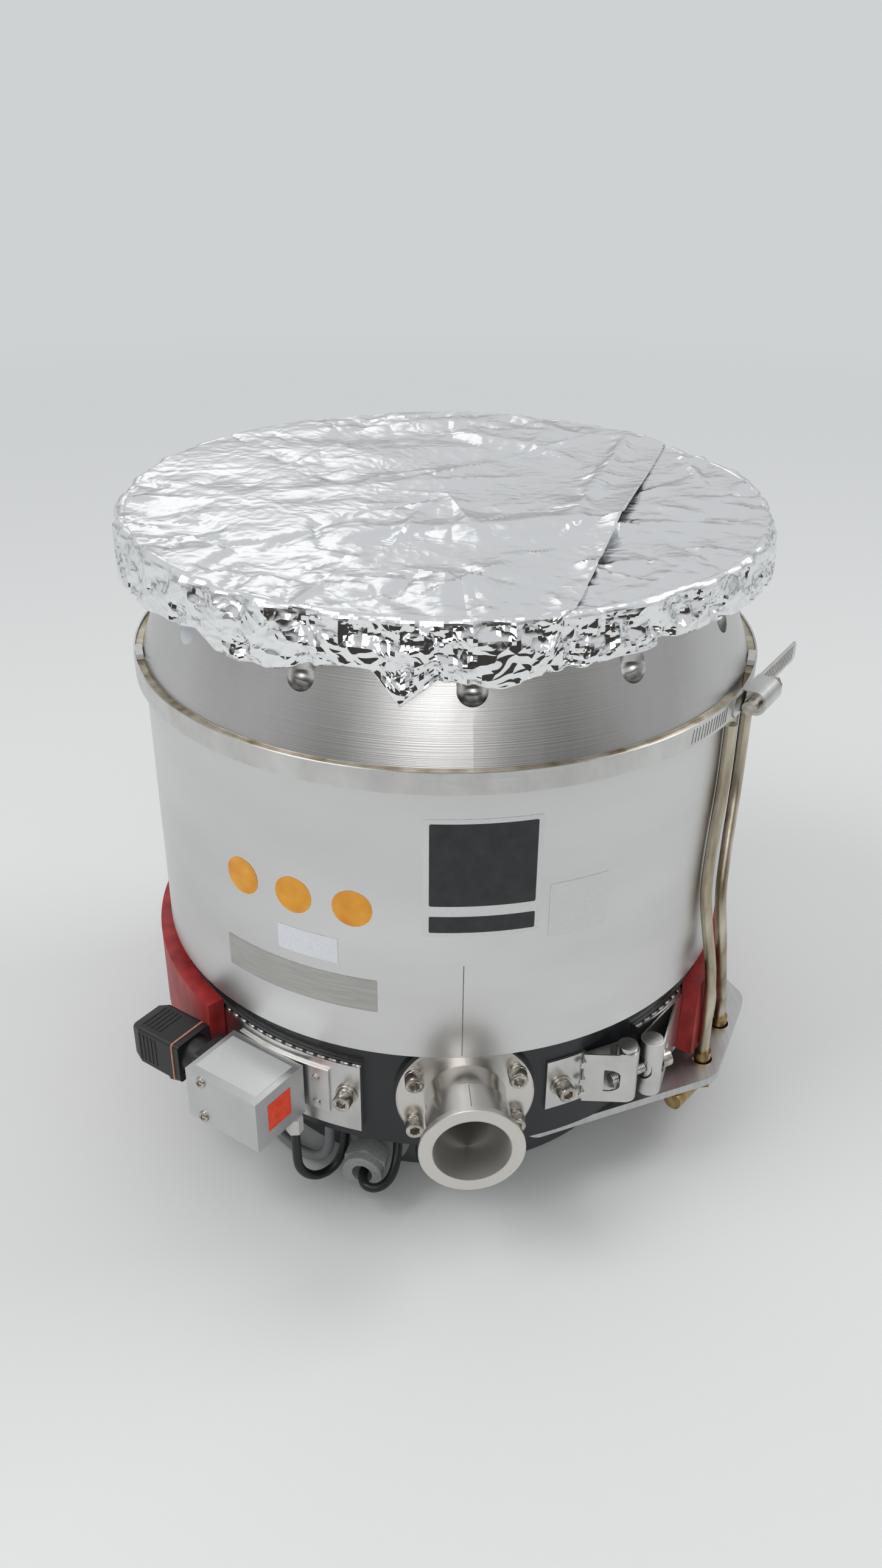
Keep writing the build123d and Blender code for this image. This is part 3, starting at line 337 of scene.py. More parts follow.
def rings(tree):
    """Position on a turned part, in metres: its direction from the axis as a point on a circle of
    150 mm radius, and height less 0.64 of the radius, so that rings run on round faces and flat
    ones. The circle closes on itself, so a pattern has no seam."""
    axes = node(tree, "SeparateXYZ", {0: fixed(tree)})
    flat = node(tree, "CombineXYZ", {"X": axes.outputs["X"], "Y": axes.outputs["Y"]}).outputs[0]
    radius = node(tree, "VectorMath", {0: flat}, operation="LENGTH").outputs["Value"]
    heading = node(tree, "VectorMath", {0: flat}, operation="NORMALIZE").outputs[0]
    circle = node(tree, "VectorMath", {0: heading, 1: (0.15, 0.15, 0)}, operation="MULTIPLY")
    sides = node(tree, "SeparateXYZ", {0: circle.outputs[0]})
    across = node(tree, "Math", {0: radius, 1: -0.64, 2: axes.outputs["Z"]},
                  operation="MULTIPLY_ADD")
    return node(tree, "CombineXYZ", {"X": sides.outputs["X"], "Y": sides.outputs["Y"],
                                     "Z": across.outputs[0]}).outputs[0]


# %% A pattern, and what it does to a finish
def streaks(tree, place, scale, detail):
    """Noise stretched along one or two axes: scale is repeats per metre along each axis."""
    spread = node(tree, "Mapping", {"Vector": place, "Scale": scale})
    return node(tree, "TexNoise", {"Vector": spread.outputs[0], "Scale": 1.0, "Detail": detail})


def lay(tree, shader, pattern, shades=None, ends=(0.3, 0.7), gloss=None, depth=0.0, strength=0.6):
    """Lets a pattern of 0 to 1 run the colour from dark to light between its two ends, the
    roughness through gloss, and a bump of this depth in metres."""
    if shades:
        ramp = node(tree, "ValToRGB", {0: pattern})
        for element, end, code in zip(ramp.color_ramp.elements, ends, shades):
            element.color, element.position = linear(code), end
        tree.links.new(ramp.outputs[0], shader.inputs["Base Color"])
    if gloss:
        polish = node(tree, "MapRange", {"Value": pattern, "To Min": gloss[0], "To Max": gloss[1]})
        tree.links.new(polish.outputs[0], shader.inputs["Roughness"])
    if depth:
        relief = node(tree, "Bump", {"Height": pattern, "Distance": depth, "Strength": strength})
        tree.links.new(relief.outputs[0], shader.inputs["Normal"])


def worked(name, metallic, roughness, scale, detail=4, shades=("#808080",), where=fixed, **marks):
    """Finish with one pattern, laid over it as lay() says; one shade alone is its even colour."""
    made, tree, shader = material(name, shades[0], metallic, roughness)
    pattern = streaks(tree, where(tree), scale, detail).outputs[0]
    lay(tree, shader, pattern, shades if len(shades) == 2 else None, **marks)
    print("finish", name)
    return made, tree, shader


# %% [markdown]
# The casing is turned aluminium, bead-blasted fine: an even satin with a faint mottle from
# handling. The cone and the flange above it are left as the lathe made them, so their lights
# stretch across the rings. A shader's anisotropy gives that stretch better than deep bump would.

# %% Aluminium of the casing, cone and flange
satin_aluminium, tree, shader = worked("satin_aluminium", 1.0, 0.4, (9, 9, 22), 3, where=rings,
                                       shades=("#D0D0CF", "#DBDBDA"), gloss=(0.29, 0.38))
grain = streaks(tree, rings(tree), (40, 40, 2600), 2)
lay(tree, shader, grain.outputs[0], depth=0.00002, strength=1.0)
shader.inputs["Anisotropic"].default_value = 0.45
# The lathe's rings are about 0.3 mm apart, drawn at 0.7 mm so that they show.
turned_aluminium, tree, shader = worked("turned_aluminium", 1.0, 0.27, (26, 26, 8), 3, where=rings,
                                        shades=("#D0CFCD", "#DEDDDB"), gloss=(0.2, 0.38))
tool_marks = streaks(tree, rings(tree), (6, 6, 1400), 4)
lay(tree, shader, tool_marks.outputs[0], depth=0.00004, strength=1.0)
shader.inputs["Anisotropic"].default_value = 0.65

# %% [markdown]
# The base is black-anodised: smooth, with a soft blue-grey sheen and grains of about 1 mm. Its
# underside and the casting inside are blasted bare. The motor's core is a stack of electrical
# steel, each sheet half a millimetre, drawn as lines 1 mm apart so that they show.

# %% Castings and laminations
black_coat, tree, shader = worked("black_anodised", 0.0, 0.42, (900, 900, 900), 2,
                                  shades=("#15181C",), depth=0.00004)
shader.inputs["Coat Weight"].default_value = 0.12
grey_casting = worked("blasted_grey_casting", 1.0, 0.5, (700, 700, 700), 3,
                      shades=("#6E7374",), depth=0.00008, strength=0.7)[0]
lamination = worked("electrical_steel_stack", 1.0, 0.45, (8, 8, 1000),
                    shades=("#454547", "#77777A"), depth=0.0001)[0]

# %% [markdown]
# The port is turned stainless steel, warmer than aluminium, with rings that follow its own axis,
# which lies along Y. Its bore is blasted and dull. Splitting the mesh would give the bore its
# own material, but the CAD mesh stays as it is, so the distance from the port's axis decides.

# %% Stainless steel of the port and fittings
port_height = 90.0
bore_radius = 20.6
stainless, tree, shader = material("turned_stainless", "#D2CFCA", 1.0, 0.25)
axes = node(tree, "SeparateXYZ", {0: fixed(tree)})
along_port = node(tree, "CombineXYZ", {"X": axes.outputs["Y"]})
turning = streaks(tree, along_port.outputs[0], (1500, 1, 1), 2)
lay(tree, shader, turning.outputs[0], depth=0.00003, strength=1.0)
shader.inputs["Anisotropic"].default_value = 0.4
rise = node(tree, "Math", {0: axes.outputs["Z"], 1: port_height * MM}, operation="SUBTRACT")
offset = node(tree, "CombineXYZ", {"X": axes.outputs["X"], "Z": rise.outputs[0]})
from_axis = node(tree, "VectorMath", {0: offset.outputs[0]}, operation="LENGTH")
in_bore = node(tree, "Math", {0: from_axis.outputs["Value"], 1: bore_radius * MM},
               operation="LESS_THAN")
lay(tree, shader, in_bore.outputs[0], gloss=(0.25, 0.75))
print("bore is dull within", bore_radius, "mm of its axis")

# %% [markdown]
# The heater band, its straps and the clamp are thin rolled strip: bright, with soft scratches
# round the band and stains. The barrels are zinc plated, which leaves small pits. Screws wear
# to a darker, warmer steel. The tubes are copper under nickel, dulled by heat to a cream-brown,
# and the elbows are dull brass.

# %% Strip, plating, screws, tube and brass
rolled_steel, tree, shader = worked("rolled_sheet_steel", 1.0, 0.33, (60, 60, 700),
                                    gloss=(0.25, 0.38), depth=0.00005, strength=0.7)
stain = streaks(tree, fixed(tree), (70, 70, 50), 5)
lay(tree, shader, stain.outputs[0], shades=("#C4C3C0", "#D6D6D4"))
zinc_plate = worked("zinc_plated_steel", 1.0, 0.28, (500, 500, 500), 3,
                    shades=("#BEBCB6", "#D5D5D2"), depth=0.0001, strength=0.5)[0]
screw_steel = worked("stainless_screw_steel", 1.0, 0.24, (300, 300, 300),
                     shades=("#9E988E", "#CFCBC3"), depth=0.00005, strength=0.5)[0]
tarnished_tube = worked("tarnished_nickel_tube", 1.0, 0.36, (90, 90, 22), 5, ends=(0.32, 0.62),
                        shades=("#8C7C60", "#CFC7B6"), depth=0.00012, strength=0.5)[0]
brass = worked("dull_brass", 1.0, 0.33, (160, 160, 160), shades=("#86683B", "#BFA878"))[0]

# %% [markdown]
# The heater's pad is red silicone foam, dusty and a little uneven. Its plug and glands are
# moulded nylon with a fine spark-eroded skin, and the gasket between plug and box is pressed
# silicone. Fluoro rubber is matt, and dust lies on it. Cord sleeves are PVC, with soft creases.

# %% Silicone, nylon, rubber and cord sleeves
red_silicone = worked("red_silicone_foam", 0.0, 0.48, (120, 120, 60), 5,
                      shades=("#7C1013", "#A82A28"), depth=0.0003, strength=0.4)[0]
black_polyamide = worked("black_polyamide", 0.0, 0.45, (1500, 1500, 1500), 2,
                         shades=("#1A1A1B",), depth=0.00006, strength=0.7)[0]
grey_polyamide = worked("grey_polyamide", 0.0, 0.5, (900, 900, 900), 2,
                        shades=("#7F8382", "#969998"), depth=0.00006, strength=0.7)[0]
white_polyamide = worked("white_polyamide", 0.0, 0.45, (700, 700, 700),
                         shades=("#C1C1BD", "#D0D0CD"), depth=0.00005)[0]
pink_gasket = worked("copper_pink_gasket", 0.0, 0.5, (260, 260, 260),
                     shades=("#A66D5A", "#C08772"), depth=0.00008)[0]
seal_rubber = worked("fluoro_rubber", 0.0, 0.55, (350, 350, 350),
                     shades=("#131313", "#242424"), depth=0.00006)[0]
black_sleeve = worked("black_pvc_sleeve", 0.0, 0.38, (220, 220, 220), 3,
                      shades=("#141415",), depth=0.0002, strength=0.4)[0]
grey_sleeve = worked("grey_pvc_sleeve", 0.0, 0.42, (220, 220, 220), 3,
                     shades=("#77787A",), depth=0.0002, strength=0.4)[0]

# %% [markdown]
# The terminal box is folded from clear-anodised sheet, which smears under fingers. The plate
# that carries the tubes is milled, with faint passes of the cutter along one direction.

# %% Sheet and milled plate
box_sheet = worked("clear_anodised_sheet", 1.0, 0.42, (24, 24, 24),
                   shades=("#C6C7C7", "#D3D4D4"), gloss=(0.35, 0.5))[0]
plate_aluminium = worked("milled_aluminium_plate", 1.0, 0.4, (400, 25, 25),
                         shades=("#BDBEBE", "#CDCDCC"), depth=0.00004)[0]

# %% [markdown]
# Kitchen foil is rolled aluminium, one side duller than the other. The dull side is up: satin
# on the flat and bright wherever a crease turns it. The skirt was squeezed by hand until it
# shone. Large creases are in the mesh further on. Crumples of 7 mm and less are bump here: cells
# of a Voronoi pattern, each a shallow cone, whose meeting lines are sharp.

# %% Kitchen foil
rolled_foil, tree, shader = material("rolled_aluminium_foil", "#F0F1F2", 1.0, 0.2)
place = fixed(tree)
skirt_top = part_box("inlet_flange")[1][2] - 0.001
up_there = node(tree, "SeparateXYZ", {0: place}).outputs["Z"]
on_skirt = node(tree, "Math", {0: up_there, 1: skirt_top}, operation="LESS_THAN").outputs[0]
handling = streaks(tree, place, (35, 35, 35), 3)
dullness = node(tree, "MapRange", {"Value": handling.outputs[0], "To Min": 0.15, "To Max": 0.26})
squeezed = node(tree, "MapRange", {"Value": on_skirt, "To Min": 1.0, "To Max": 0.3})
satin = node(tree, "Math", {0: dullness.outputs[0], 1: squeezed.outputs[0]}, operation="MULTIPLY")
tree.links.new(satin.outputs[0], shader.inputs["Roughness"])
# The place is bent by up to 30 mm of noise, so that no two cells look alike.
wander = node(tree, "VectorMath", {0: streaks(tree, place, (40, 40, 40), 2).outputs["Color"],
                                   1: (0.03, 0.03, 0.03)}, operation="MULTIPLY")
bent_place = node(tree, "VectorMath", {0: place, 1: wander.outputs[0]}, operation="ADD")
crumple = node(tree, "TexVoronoi", {"Vector": bent_place.outputs[0], "Scale": 140.0})
depth = node(tree, "MapRange", {"Value": on_skirt, "To Min": 0.0003, "To Max": 0.0012})
relief = node(tree, "Bump", {"Height": crumple.outputs["Distance"], "Distance": depth.outputs[0]})
tree.links.new(relief.outputs[0], shader.inputs["Normal"])
print("foil shines below", round(skirt_top, 4), "m")

# %% Give the CAD nodes their finishes
finishes = {
    "casing_aluminium": satin_aluminium, "brushed_flange": turned_aluminium,
    "black_casting": black_coat, "grey_casting": grey_casting, "turned_steel": stainless,
    "screws": screw_steel, "seal_rubber": seal_rubber, "stator_aluminium": turned_aluminium,
    "laminations": lamination, "cooling_tube": tarnished_tube, "brass_fitting": brass,
    "white_plastic": white_polyamide, "clamp_steel": rolled_steel,
    "plate_aluminium": plate_aluminium, "band_steel": rolled_steel, "barrel_steel": zinc_plate,
    "red_silicone": red_silicone, "box_sheet": box_sheet, "copper_gasket": pink_gasket,
    "black_plastic": black_polyamide, "gland_plastic": grey_polyamide,
    "black_cord": black_sleeve, "grey_cord": grey_sleeve, "foil": rolled_foil,
}
for part in frame["record"]["subparts"]:
    mesh = nodes[part["node"]].data
    mesh.materials.clear()
    mesh.materials.append(finishes[part["material_slot"]])

# %% [markdown]
# ## The foil cover
# The inlet is closed for transport with two sheets of kitchen foil, pressed over the flange by
# hand. Cloth simulation would fold it too softly, because foil keeps each crease it was given.
# So each sheet is a grid in polar form, pushed along its own normal by a crease pattern. On the
# flat the creases are single ridges. On the skirt they are a web between dents, which gives
# flat facets with sharp edges.


# %% How foil creases
def folds(place, count, length, seed):
    """Sum of triangle waves along seeded directions: |fraction(p.n / length + phase) - 1/2|,
    centred on zero, at a place bent by slow sine waves, so that no crease is quite straight."""
    draw = np.random.default_rng(seed)
    sway = np.sin(place[..., [1, 2, 0]] / (1.9 * length) + draw.uniform(0, 6, 3))
    bent = place + length * 0.35 * sway
    total = np.zeros(place.shape[:-1])
    for _ in range(count):
        heading = draw.normal(size=3)
        heading /= np.linalg.norm(heading) * length * draw.uniform(0.7, 1.6)
        phase = draw.uniform(0, 1)
        total += np.abs((bent @ heading + phase) % 1 - 0.5) - 0.25
    return total / math.sqrt(count)


def ridges(place, count, height, width, reach, seed, inner=0.0):
    """Sum of creases in the flat: height * exp(-distance / width - (along / reach) squared)."""
    draw = np.random.default_rng(seed)
    outer = 165.0
    x, y = place[..., 0], place[..., 1]
    total = np.zeros(x.shape)
    for _ in range(count):
        turn = draw.uniform(0, math.pi)
        azimuth = draw.uniform(0, 360)
        middle = around(azimuth, outer * math.sqrt(draw.uniform((inner / outer) ** 2, 1)), 0)
        across = (x - middle[0]) * math.sin(turn) - (y - middle[1]) * math.cos(turn)
        along = (x - middle[0]) * math.cos(turn) + (y - middle[1]) * math.sin(turn)
        sharp, extent = width * draw.uniform(0.5, 1.7), reach * draw.uniform(0.5, 1.8)
        total += draw.normal(0, height) * np.exp(-np.abs(across) / sharp - (along / extent) ** 2)
    return total


def network(place, spacing, seed):
    """Distance in mm to the nearest of many seeded sites on the skirt: a web of sharp ridges
    between the sites, and a dent at each. |p - s| squared is p.p - 2 p.s + s.s, for all pairs."""
    draw = np.random.default_rng(seed)
    heights = np.array([322.0, 369.0])
    skirt_radius = 170
    count = int(2 * math.pi * skirt_radius * np.ptp(heights) / spacing ** 2)
    sites = around(draw.uniform(0, 360, count), draw.normal(skirt_radius, 0.35 * spacing, count),
                   draw.uniform(*heights, count))
    points = place.reshape(-1, 3)
    apart = (points ** 2).sum(1)[:, None] - 2 * points @ sites.T + (sites ** 2).sum(1)
    return np.sqrt(np.maximum(apart.min(axis=1), 0)).reshape(place.shape[:-1])


print("nearest site is", network(np.array([[170.0, 0.0, 340.0]]), 10, 1).round(1), "mm away")

# %% [markdown]
# The skirt's lower edge is torn, and each tear hangs at its own height. Noise would do at the
# back, but the front's long tips are what the eye knows the cover by, so the edge is a list of
# heights by azimuth with straight runs between them and a small ripple.

# %% Where the skirt ends
# Azimuth in degrees, and height in mm above the casing's own lower edge.
torn_edge = np.array([
    (-180, 226), (-140, 222), (-100, 227), (-75, 221), (-58, 222), (-45, 225), (-38, 214),
    (-32, 217), (-26, 220), (-20, 224), (-15, 223), (-11, 207), (-5.6, 219), (-2, 217),
    (3.5, 215), (7, 219), (16, 222), (25, 224), (34, 227), (50, 225), (75, 221), (100, 226),
    (140, 221), (180, 226)])
casing_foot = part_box("casing")[0][2] / MM


def skirt_foot(azimuth):
    """Height of the edge at an azimuth: straight runs, plus a ripple of 0.6 mm."""
    folded = (azimuth + 180) % 360 - 180
    drawn = np.interp(folded, *torn_edge.T)
    return casing_foot + drawn + 0.6 * np.sin(np.radians(folded) * 38)


print("longest tip at", casing_foot + torn_edge[:, 1].min(), "mm")

# %% One sheet of foil
rim_bend = 1.5
top_rows, skirt_rows = 50, 38


def foil_sheet(name, azimuths, rim, hem, level, lift=0.0):
    """A disc and its skirt as one grid. A column runs from the axis out to the rim, over a small
    bend, and down to the foot; hem is 1 where there is a skirt and 0 along a free edge. Each
    point then moves along the sheet's own normal by the creases."""
    out = np.linspace(0, 1, top_rows)[:, None] ** 0.8
    down = np.linspace(0, 1, skirt_rows)[:, None]
    flat_rows = np.zeros((top_rows, len(azimuths)))
    bend = np.clip(down * 6, 0, 1) * math.pi / 2 * hem
    drop = np.clip(down * 1.2 - 0.2, 0, 1) * ((level - rim_bend - skirt_foot(azimuths)) * hem)
    radius = np.vstack([out * (rim - rim_bend), rim - rim_bend + rim_bend * np.sin(bend)])
    height = np.vstack([flat_rows + level, level - rim_bend * (1 - np.cos(bend)) - drop])
    tilt = np.vstack([flat_rows, bend])
    skirt = np.vstack([flat_rows, down * hem])
    azimuth = np.broadcast_to(azimuths, radius.shape)
    place = around(azimuth, radius, height)
    normal = around(azimuth, np.sin(tilt), np.cos(tilt))
    flat = 1 - np.clip(skirt * 6, 0, 1)
    near_rim = np.clip((radius - 118) / 48, 0, 1) ** 1.5 * flat
    # On the flat: long creases, short ones, and many fine ones towards the rim.
    shift = ridges(place, 60, 2.4, 11, 70, 11) * flat
    shift += ridges(place, 330, 1.0, 3.4, 24, 12) * flat
    shift += ridges(place, 520, 1.2, 2.2, 11, 13, inner=104) * near_rim
    # On the skirt: a coarse web and a fine one, slow folds, and pleats that open downwards.
    lower = place[top_rows:]
    web = 0.75 * (network(lower, 12.5, 16) - 5.5) + 0.5 * (network(lower, 6.2, 17) - 2.7)
    crushed = np.concatenate([flat_rows, web]) + folds(place, 4, 17, 14) * 3.2
    turn = np.radians(azimuth)
    pleats = np.abs(np.sin(turn * 43 + 2 * np.sin(turn * 7)))
    hang = crushed * (0.35 + 0.65 * skirt) + pleats * 1.6 * skirt + 1.4 * skirt + 0.5
    shift = 1.6 * np.tanh(shift / 1.6) + 1.1 + np.clip(hang, -0.4, 4.4) * (1 - flat) + lift
    shift[0] = shift[0].mean()
    return surface(name, place + shift[..., None] * normal, body="foil", angle=9)


# %% The lower sheet
whole_turn = np.linspace(-180, 180, 521)[:-1]
lower_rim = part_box("foil_lower")[1][0] / MM - 1.4
foil_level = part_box("inlet_flange")[1][2] / MM + 0.4
lower_sheet = foil_sheet("foil_lower_sheet", whole_turn, np.full_like(whole_turn, lower_rim),
                         np.ones_like(whole_turn), foil_level)
print("lower sheet's rim is at", round(lower_rim, 1), "mm")

# %% [markdown]
# The upper sheet covers most of the lower one and ends in a free straight edge. Its outline is
# a circle cut by a line, so the rim's radius is the smaller of the circle's and the line's,
# distance / cos(angle from the line's normal). There is no skirt along the line, and the edge
# stands up off the lower sheet, which leaves the dark gap that shows there are two.

# %% The upper sheet
edge_normal = 69.5
edge_distance = 98.6
edge_rise, rise_width, rise_reach = 5.0, 72, 24
upper_rim = lower_rim + 1.3
corner = math.degrees(math.acos(edge_distance / upper_rim))
around_left = np.linspace(edge_normal + corner, edge_normal + 360 - corner, 370)
along_edge = np.linspace(edge_normal - corner, edge_normal + corner, 150)[1:-1]
upper_azimuths = np.concatenate([around_left, along_edge + 360])
from_normal = np.abs((upper_azimuths - edge_normal + 180) % 360 - 180)
on_edge = from_normal < corner - 0.01
side = np.radians(upper_azimuths - 360 - edge_normal)
straight = edge_distance / np.cos(np.clip(side, *np.radians([-89, 89])))
reach_out = np.where(on_edge, straight, upper_rim)
hem = np.where(on_edge, 0.0, np.clip((from_normal - corner) / 5, 0.0, 1.0))
# The free edge stands up most in the middle of its front half, and fades 24 mm in from it.
along = np.where(on_edge, straight * np.sin(side), 999)
raised = edge_rise * np.exp(-((along + 18) / rise_width) ** 2)
inward = np.linspace(0, 1, top_rows)[:, None] ** 0.8
lift = np.vstack([raised * np.exp(-(1 - inward) * reach_out / rise_reach),
                  np.ones((skirt_rows, 1)) * raised])
upper_sheet = foil_sheet("foil_upper_sheet", upper_azimuths, reach_out, hem, foil_level + 1.1, lift)
print("free edge is", round(2 * edge_distance * math.tan(math.radians(corner))), "mm long")

# %% Thickness, and what the sheets stand for
for sheet, replaced in ((lower_sheet, "foil_lower"), (upper_sheet, "foil_upper")):
    wall = sheet.modifiers.new("wall", "SOLIDIFY")
    wall.thickness = 0.15 * MM
    wall.offset = 0
    sheet.data.materials.append(rolled_foil)
    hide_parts(replaced)
    print(sheet.name, len(sheet.data.polygons), "faces, top",
          round(max(v[2] for v in sheet.bound_box), 4))

# %% [markdown]
# ## Small parts
# The eye reads a machine's size from its screws, so these are worth real geometry. A cap screw
# could be a cylinder with a hexagon cut by a Boolean, which leaves long thin faces. Here it is
# one closed outline turned round its axis; where its radius also changes with the angle, the
# same grid gives the knurl on its rim and the hexagon in its head.


# %% Cap screws
def cap_screw(frame, washers):
    """Rings of a screw on its washers. Side radius is 5 mm less a knurl of 0.12 * |sin 22a|; the
    socket's radius is that of a hexagon, flat / cos(a folded into 60 degrees)."""
    angle = np.linspace(0, 2 * math.pi, 88, endpoint=False)
    hexagon = 2.5 / np.cos((angle + math.pi / 6) % (math.pi / 3) - math.pi / 6)
    knurl = 5.0 - 0.12 * np.abs(np.sin(22 * angle))
    washer_step, edge_break = 1.6, 0.1
    outline, level = [(0.01, 0.0)], 0.0
    for washer in washers:
        outline += [(washer - edge_break, level), (washer, level + 0.15),
                    (washer, level + 1.4), (washer - edge_break, level + 1.55)]
        level += washer_step
    outline += [(4.7, level), (knurl, level + 0.3), (knurl, level + 5.2), (4.75, level + 5.75),
                (4.3, level + 6.0), (3.15, level + 6.0), (hexagon, level + 5.7),
                (hexagon, level + 2.6), (0.01, level + 2.2)]
    radius = np.stack([r * np.ones_like(angle) for r, _ in outline])
    height = np.array([h for _, h in outline])[:, None] * np.ones_like(angle)
    local = np.stack([radius * np.cos(angle), radius * np.sin(angle), height], axis=-1)
    return placed(*frame, local)


screw_circle, screw_angle = 31.5, 29.9
flange_face = 163.65
screw_turns = np.radians([screw_angle, 180 - screw_angle, 180 + screw_angle, -screw_angle])
port_screws = [cap_screw(((screw_circle * math.cos(turn), -flange_face,
                           port_height + screw_circle * math.sin(turn)),
                          (1, 0, 0), (0, 0, 1), (0, -1, 0)), (5.2,)) for turn in screw_turns]
piece = bars("exhaust_cap_screws", np.stack(port_screws), screw_steel)
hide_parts("exhaust_screws")
# The band's two screws stand on two washers each: azimuth in degrees, and radius of their seat.
band_seats = ((-22.5, 164.15), (19.3, 161.25))
band_heads = [cap_screw(outward_frame(*seat, 85), (6.2, 5.2)) for seat in band_seats]
piece = bars("band_cap_screws", np.stack(band_heads), screw_steel)
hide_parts("band_screws")
print("6 cap screws,", len(piece.data.polygons), "faces in the band's pair")

# %% [markdown]
# The terminal lid is held by two pan-head screws with a cross recess. The dome is an ellipse
# turned round its axis, and every grid point inside the cross drops by its depth, which is
# quicker than cutting and just as sharp at this size.


# %% Cross-recessed lid screws
def pan_screw(frame):
    """Dome 2 mm high over a radius of 3.2 mm; a cross 0.9 mm wide is sunk 1 mm into it."""
    angle = np.linspace(0, 2 * math.pi, 64, endpoint=False)
    radius = np.concatenate([[0.01], np.linspace(0.3, 3.2, 15)])[::-1, None]
    x, y = radius * np.cos(angle), radius * np.sin(angle)
    dome = 2.0 * np.sqrt(np.clip(1 - (radius / 3.5) ** 2, 0, 1)) * np.ones_like(angle)
    cross = (np.minimum(np.abs(x), np.abs(y)) < 0.45) & (radius < 1.9)
    top = np.stack([x, y, dome - 1.0 * cross], -1)
    return placed(*frame, np.concatenate([top[:1] * (1, 1, 0), top]))


box_frame = outward_frame(-39.3, 166.4, 67)
lid_face = 38.05
lid_spots = [placed(*box_frame, np.array([-14.0, up, lid_face])) for up in (28.5, 4.5)]
piece = bars("lid_pan_screws", np.stack([pan_screw((spot, *box_frame[1:])) for spot in lid_spots]),
             screw_steel)
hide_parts("lid_screws")
print(len(lid_spots), "lid screws")

# %% [markdown]
# The heater band's upper edge is a dark cord held by a row of bright folded clips. There are
# over a hundred, so each is only a small six-sided capsule, and all of them share one mesh. An
# array modifier on a curve would do it too, but here the pitch is just a list of azimuths.

# %% Clips on the heater band's edge
edge_radius, edge_height = 162.8, 105.1
clip_pitch, clip_length, clip_radius = 6.7, 5.0, 1.0
cord_radius = 0.9
band_angles = (37.6, 339.4)
clip_count = int(math.radians(band_angles[1] - band_angles[0]) * edge_radius / clip_pitch)
clip_middles = np.linspace(*band_angles, clip_count)[:, None]
stations = np.array([-0.5, -0.38, 0, 0.38, 0.5]) * clip_length
girth = np.array([0.45, 0.95, 1, 0.95, 0.45]) * clip_radius
clip_azimuths = clip_middles + np.degrees(stations / edge_radius)
turns = np.arange(6) * math.pi / 3
clip_grid = around(clip_azimuths[..., None], edge_radius + girth[:, None] * np.cos(turns),
                   edge_height + 0.25 + girth[:, None] * np.sin(turns))
piece = bars("band_edge_clips", clip_grid, rolled_steel, angle=50)
cord_azimuths = np.linspace(*band_angles, 260)[None, :, None]
cord_turns = np.arange(8) * math.pi / 4
cord_grid = around(cord_azimuths, edge_radius + cord_radius * np.cos(cord_turns),
                   edge_height + cord_radius * np.sin(cord_turns))
bars("band_edge_cord", cord_grid, black_sleeve, angle=60)
print(clip_count, "clips,", len(piece.data.polygons) // clip_count, "faces each")

# %% [markdown]
# The hose clamp's band has slots for its worm, pressed across it at a slight slant. A real slot
# would need the CAD band cut, so each shows by its raised lip, a low slanted bar. One row lies
# on the free tail and one on the ring beside the worm.

# %% Worm slots of the hose clamp
tail_frame = outward_frame(53, 172.65, 286.5)
slot_pitch, lip_half = 2.6, 0.55
slot_places = np.arange(38.0, 87.0, slot_pitch)
tail_lips = blocks([(s - lip_half, -3.9, -0.62) for s in slot_places],
                   [(s + lip_half, 3.9, 0.68) for s in slot_places])
tail_lips[..., 0] += 0.14 * tail_lips[..., 1]
bars("clamp_tail_lips", placed(*tail_frame, tail_lips), rolled_steel)
# On the ring the same lips are written as azimuth, height and radius.
ring_places = np.arange(40, 51, 0.87)
ring_lips = blocks([(a - 0.18, 282.6, 172.3) for a in ring_places],
                   [(a + 0.18, 290.4, 172.65) for a in ring_places])
lip_azimuth, lip_height, lip_radius = np.moveaxis(ring_lips, -1, 0)
lip_azimuth = lip_azimuth + 0.045 * (lip_height - 286.5)
bars("clamp_ring_lips", around(lip_azimuth, lip_radius, lip_height), rolled_steel)
print(len(slot_places), "slots on the tail and", len(ring_places), "on the ring")

# %% [markdown]
# The latch is drawn tight by a screw whose bare thread shows between two barrels. Its flank is
# a triangle wave that runs on by one pitch a turn, so the radius depends on the station less
# the share of a turn, and that one formula makes the helix.

# %% Thread of the tension screw
anchor_place, band_place = around(31.8, 171.0, 85), around(37.5, 174.0, 85)
span = float(np.linalg.norm(band_place - anchor_place))
screw_way = (band_place - anchor_place) / span
screw_side = np.cross((0, 0, 1), screw_way)
barrel_gap = 6.0
core_radius, thread_depth = 3.02, 0.22


def thread(start, end):
    """Rings between two stations in mm from the anchor barrel's middle. The radius is that of the
    core plus the depth times triangle(station - angle / turn), with a pitch of 1 mm."""
    station = np.linspace(start, end, int((end - start) * 8))[:, None]
    angle = np.linspace(0, 2 * math.pi, 28, endpoint=False)
    wave = np.abs((station - angle / (2 * math.pi)) % 1 - 0.5) * 2
    radius = core_radius + thread_depth * wave
    local = np.stack([radius * np.cos(angle), radius * np.sin(angle),
                      station * np.ones_like(angle)], axis=-1)
    return placed(anchor_place, screw_side, (0, 0, 1), screw_way, local)


for name, start, end in (("latch_thread_free", barrel_gap, span - barrel_gap),
                         ("latch_thread_end", -10.3, -barrel_gap)):
    bars(name, thread(start, end)[None], zinc_plate, body="latch_screw", angle=25)
print("thread spans", round(span - 2 * barrel_gap, 1), "mm between the barrels")

# %% [markdown]
# The plug is ribbed for the fingers on its top and on its outer side. The ribs are moulded with
# it, so they ride on the plug and leave with it when it is pulled.

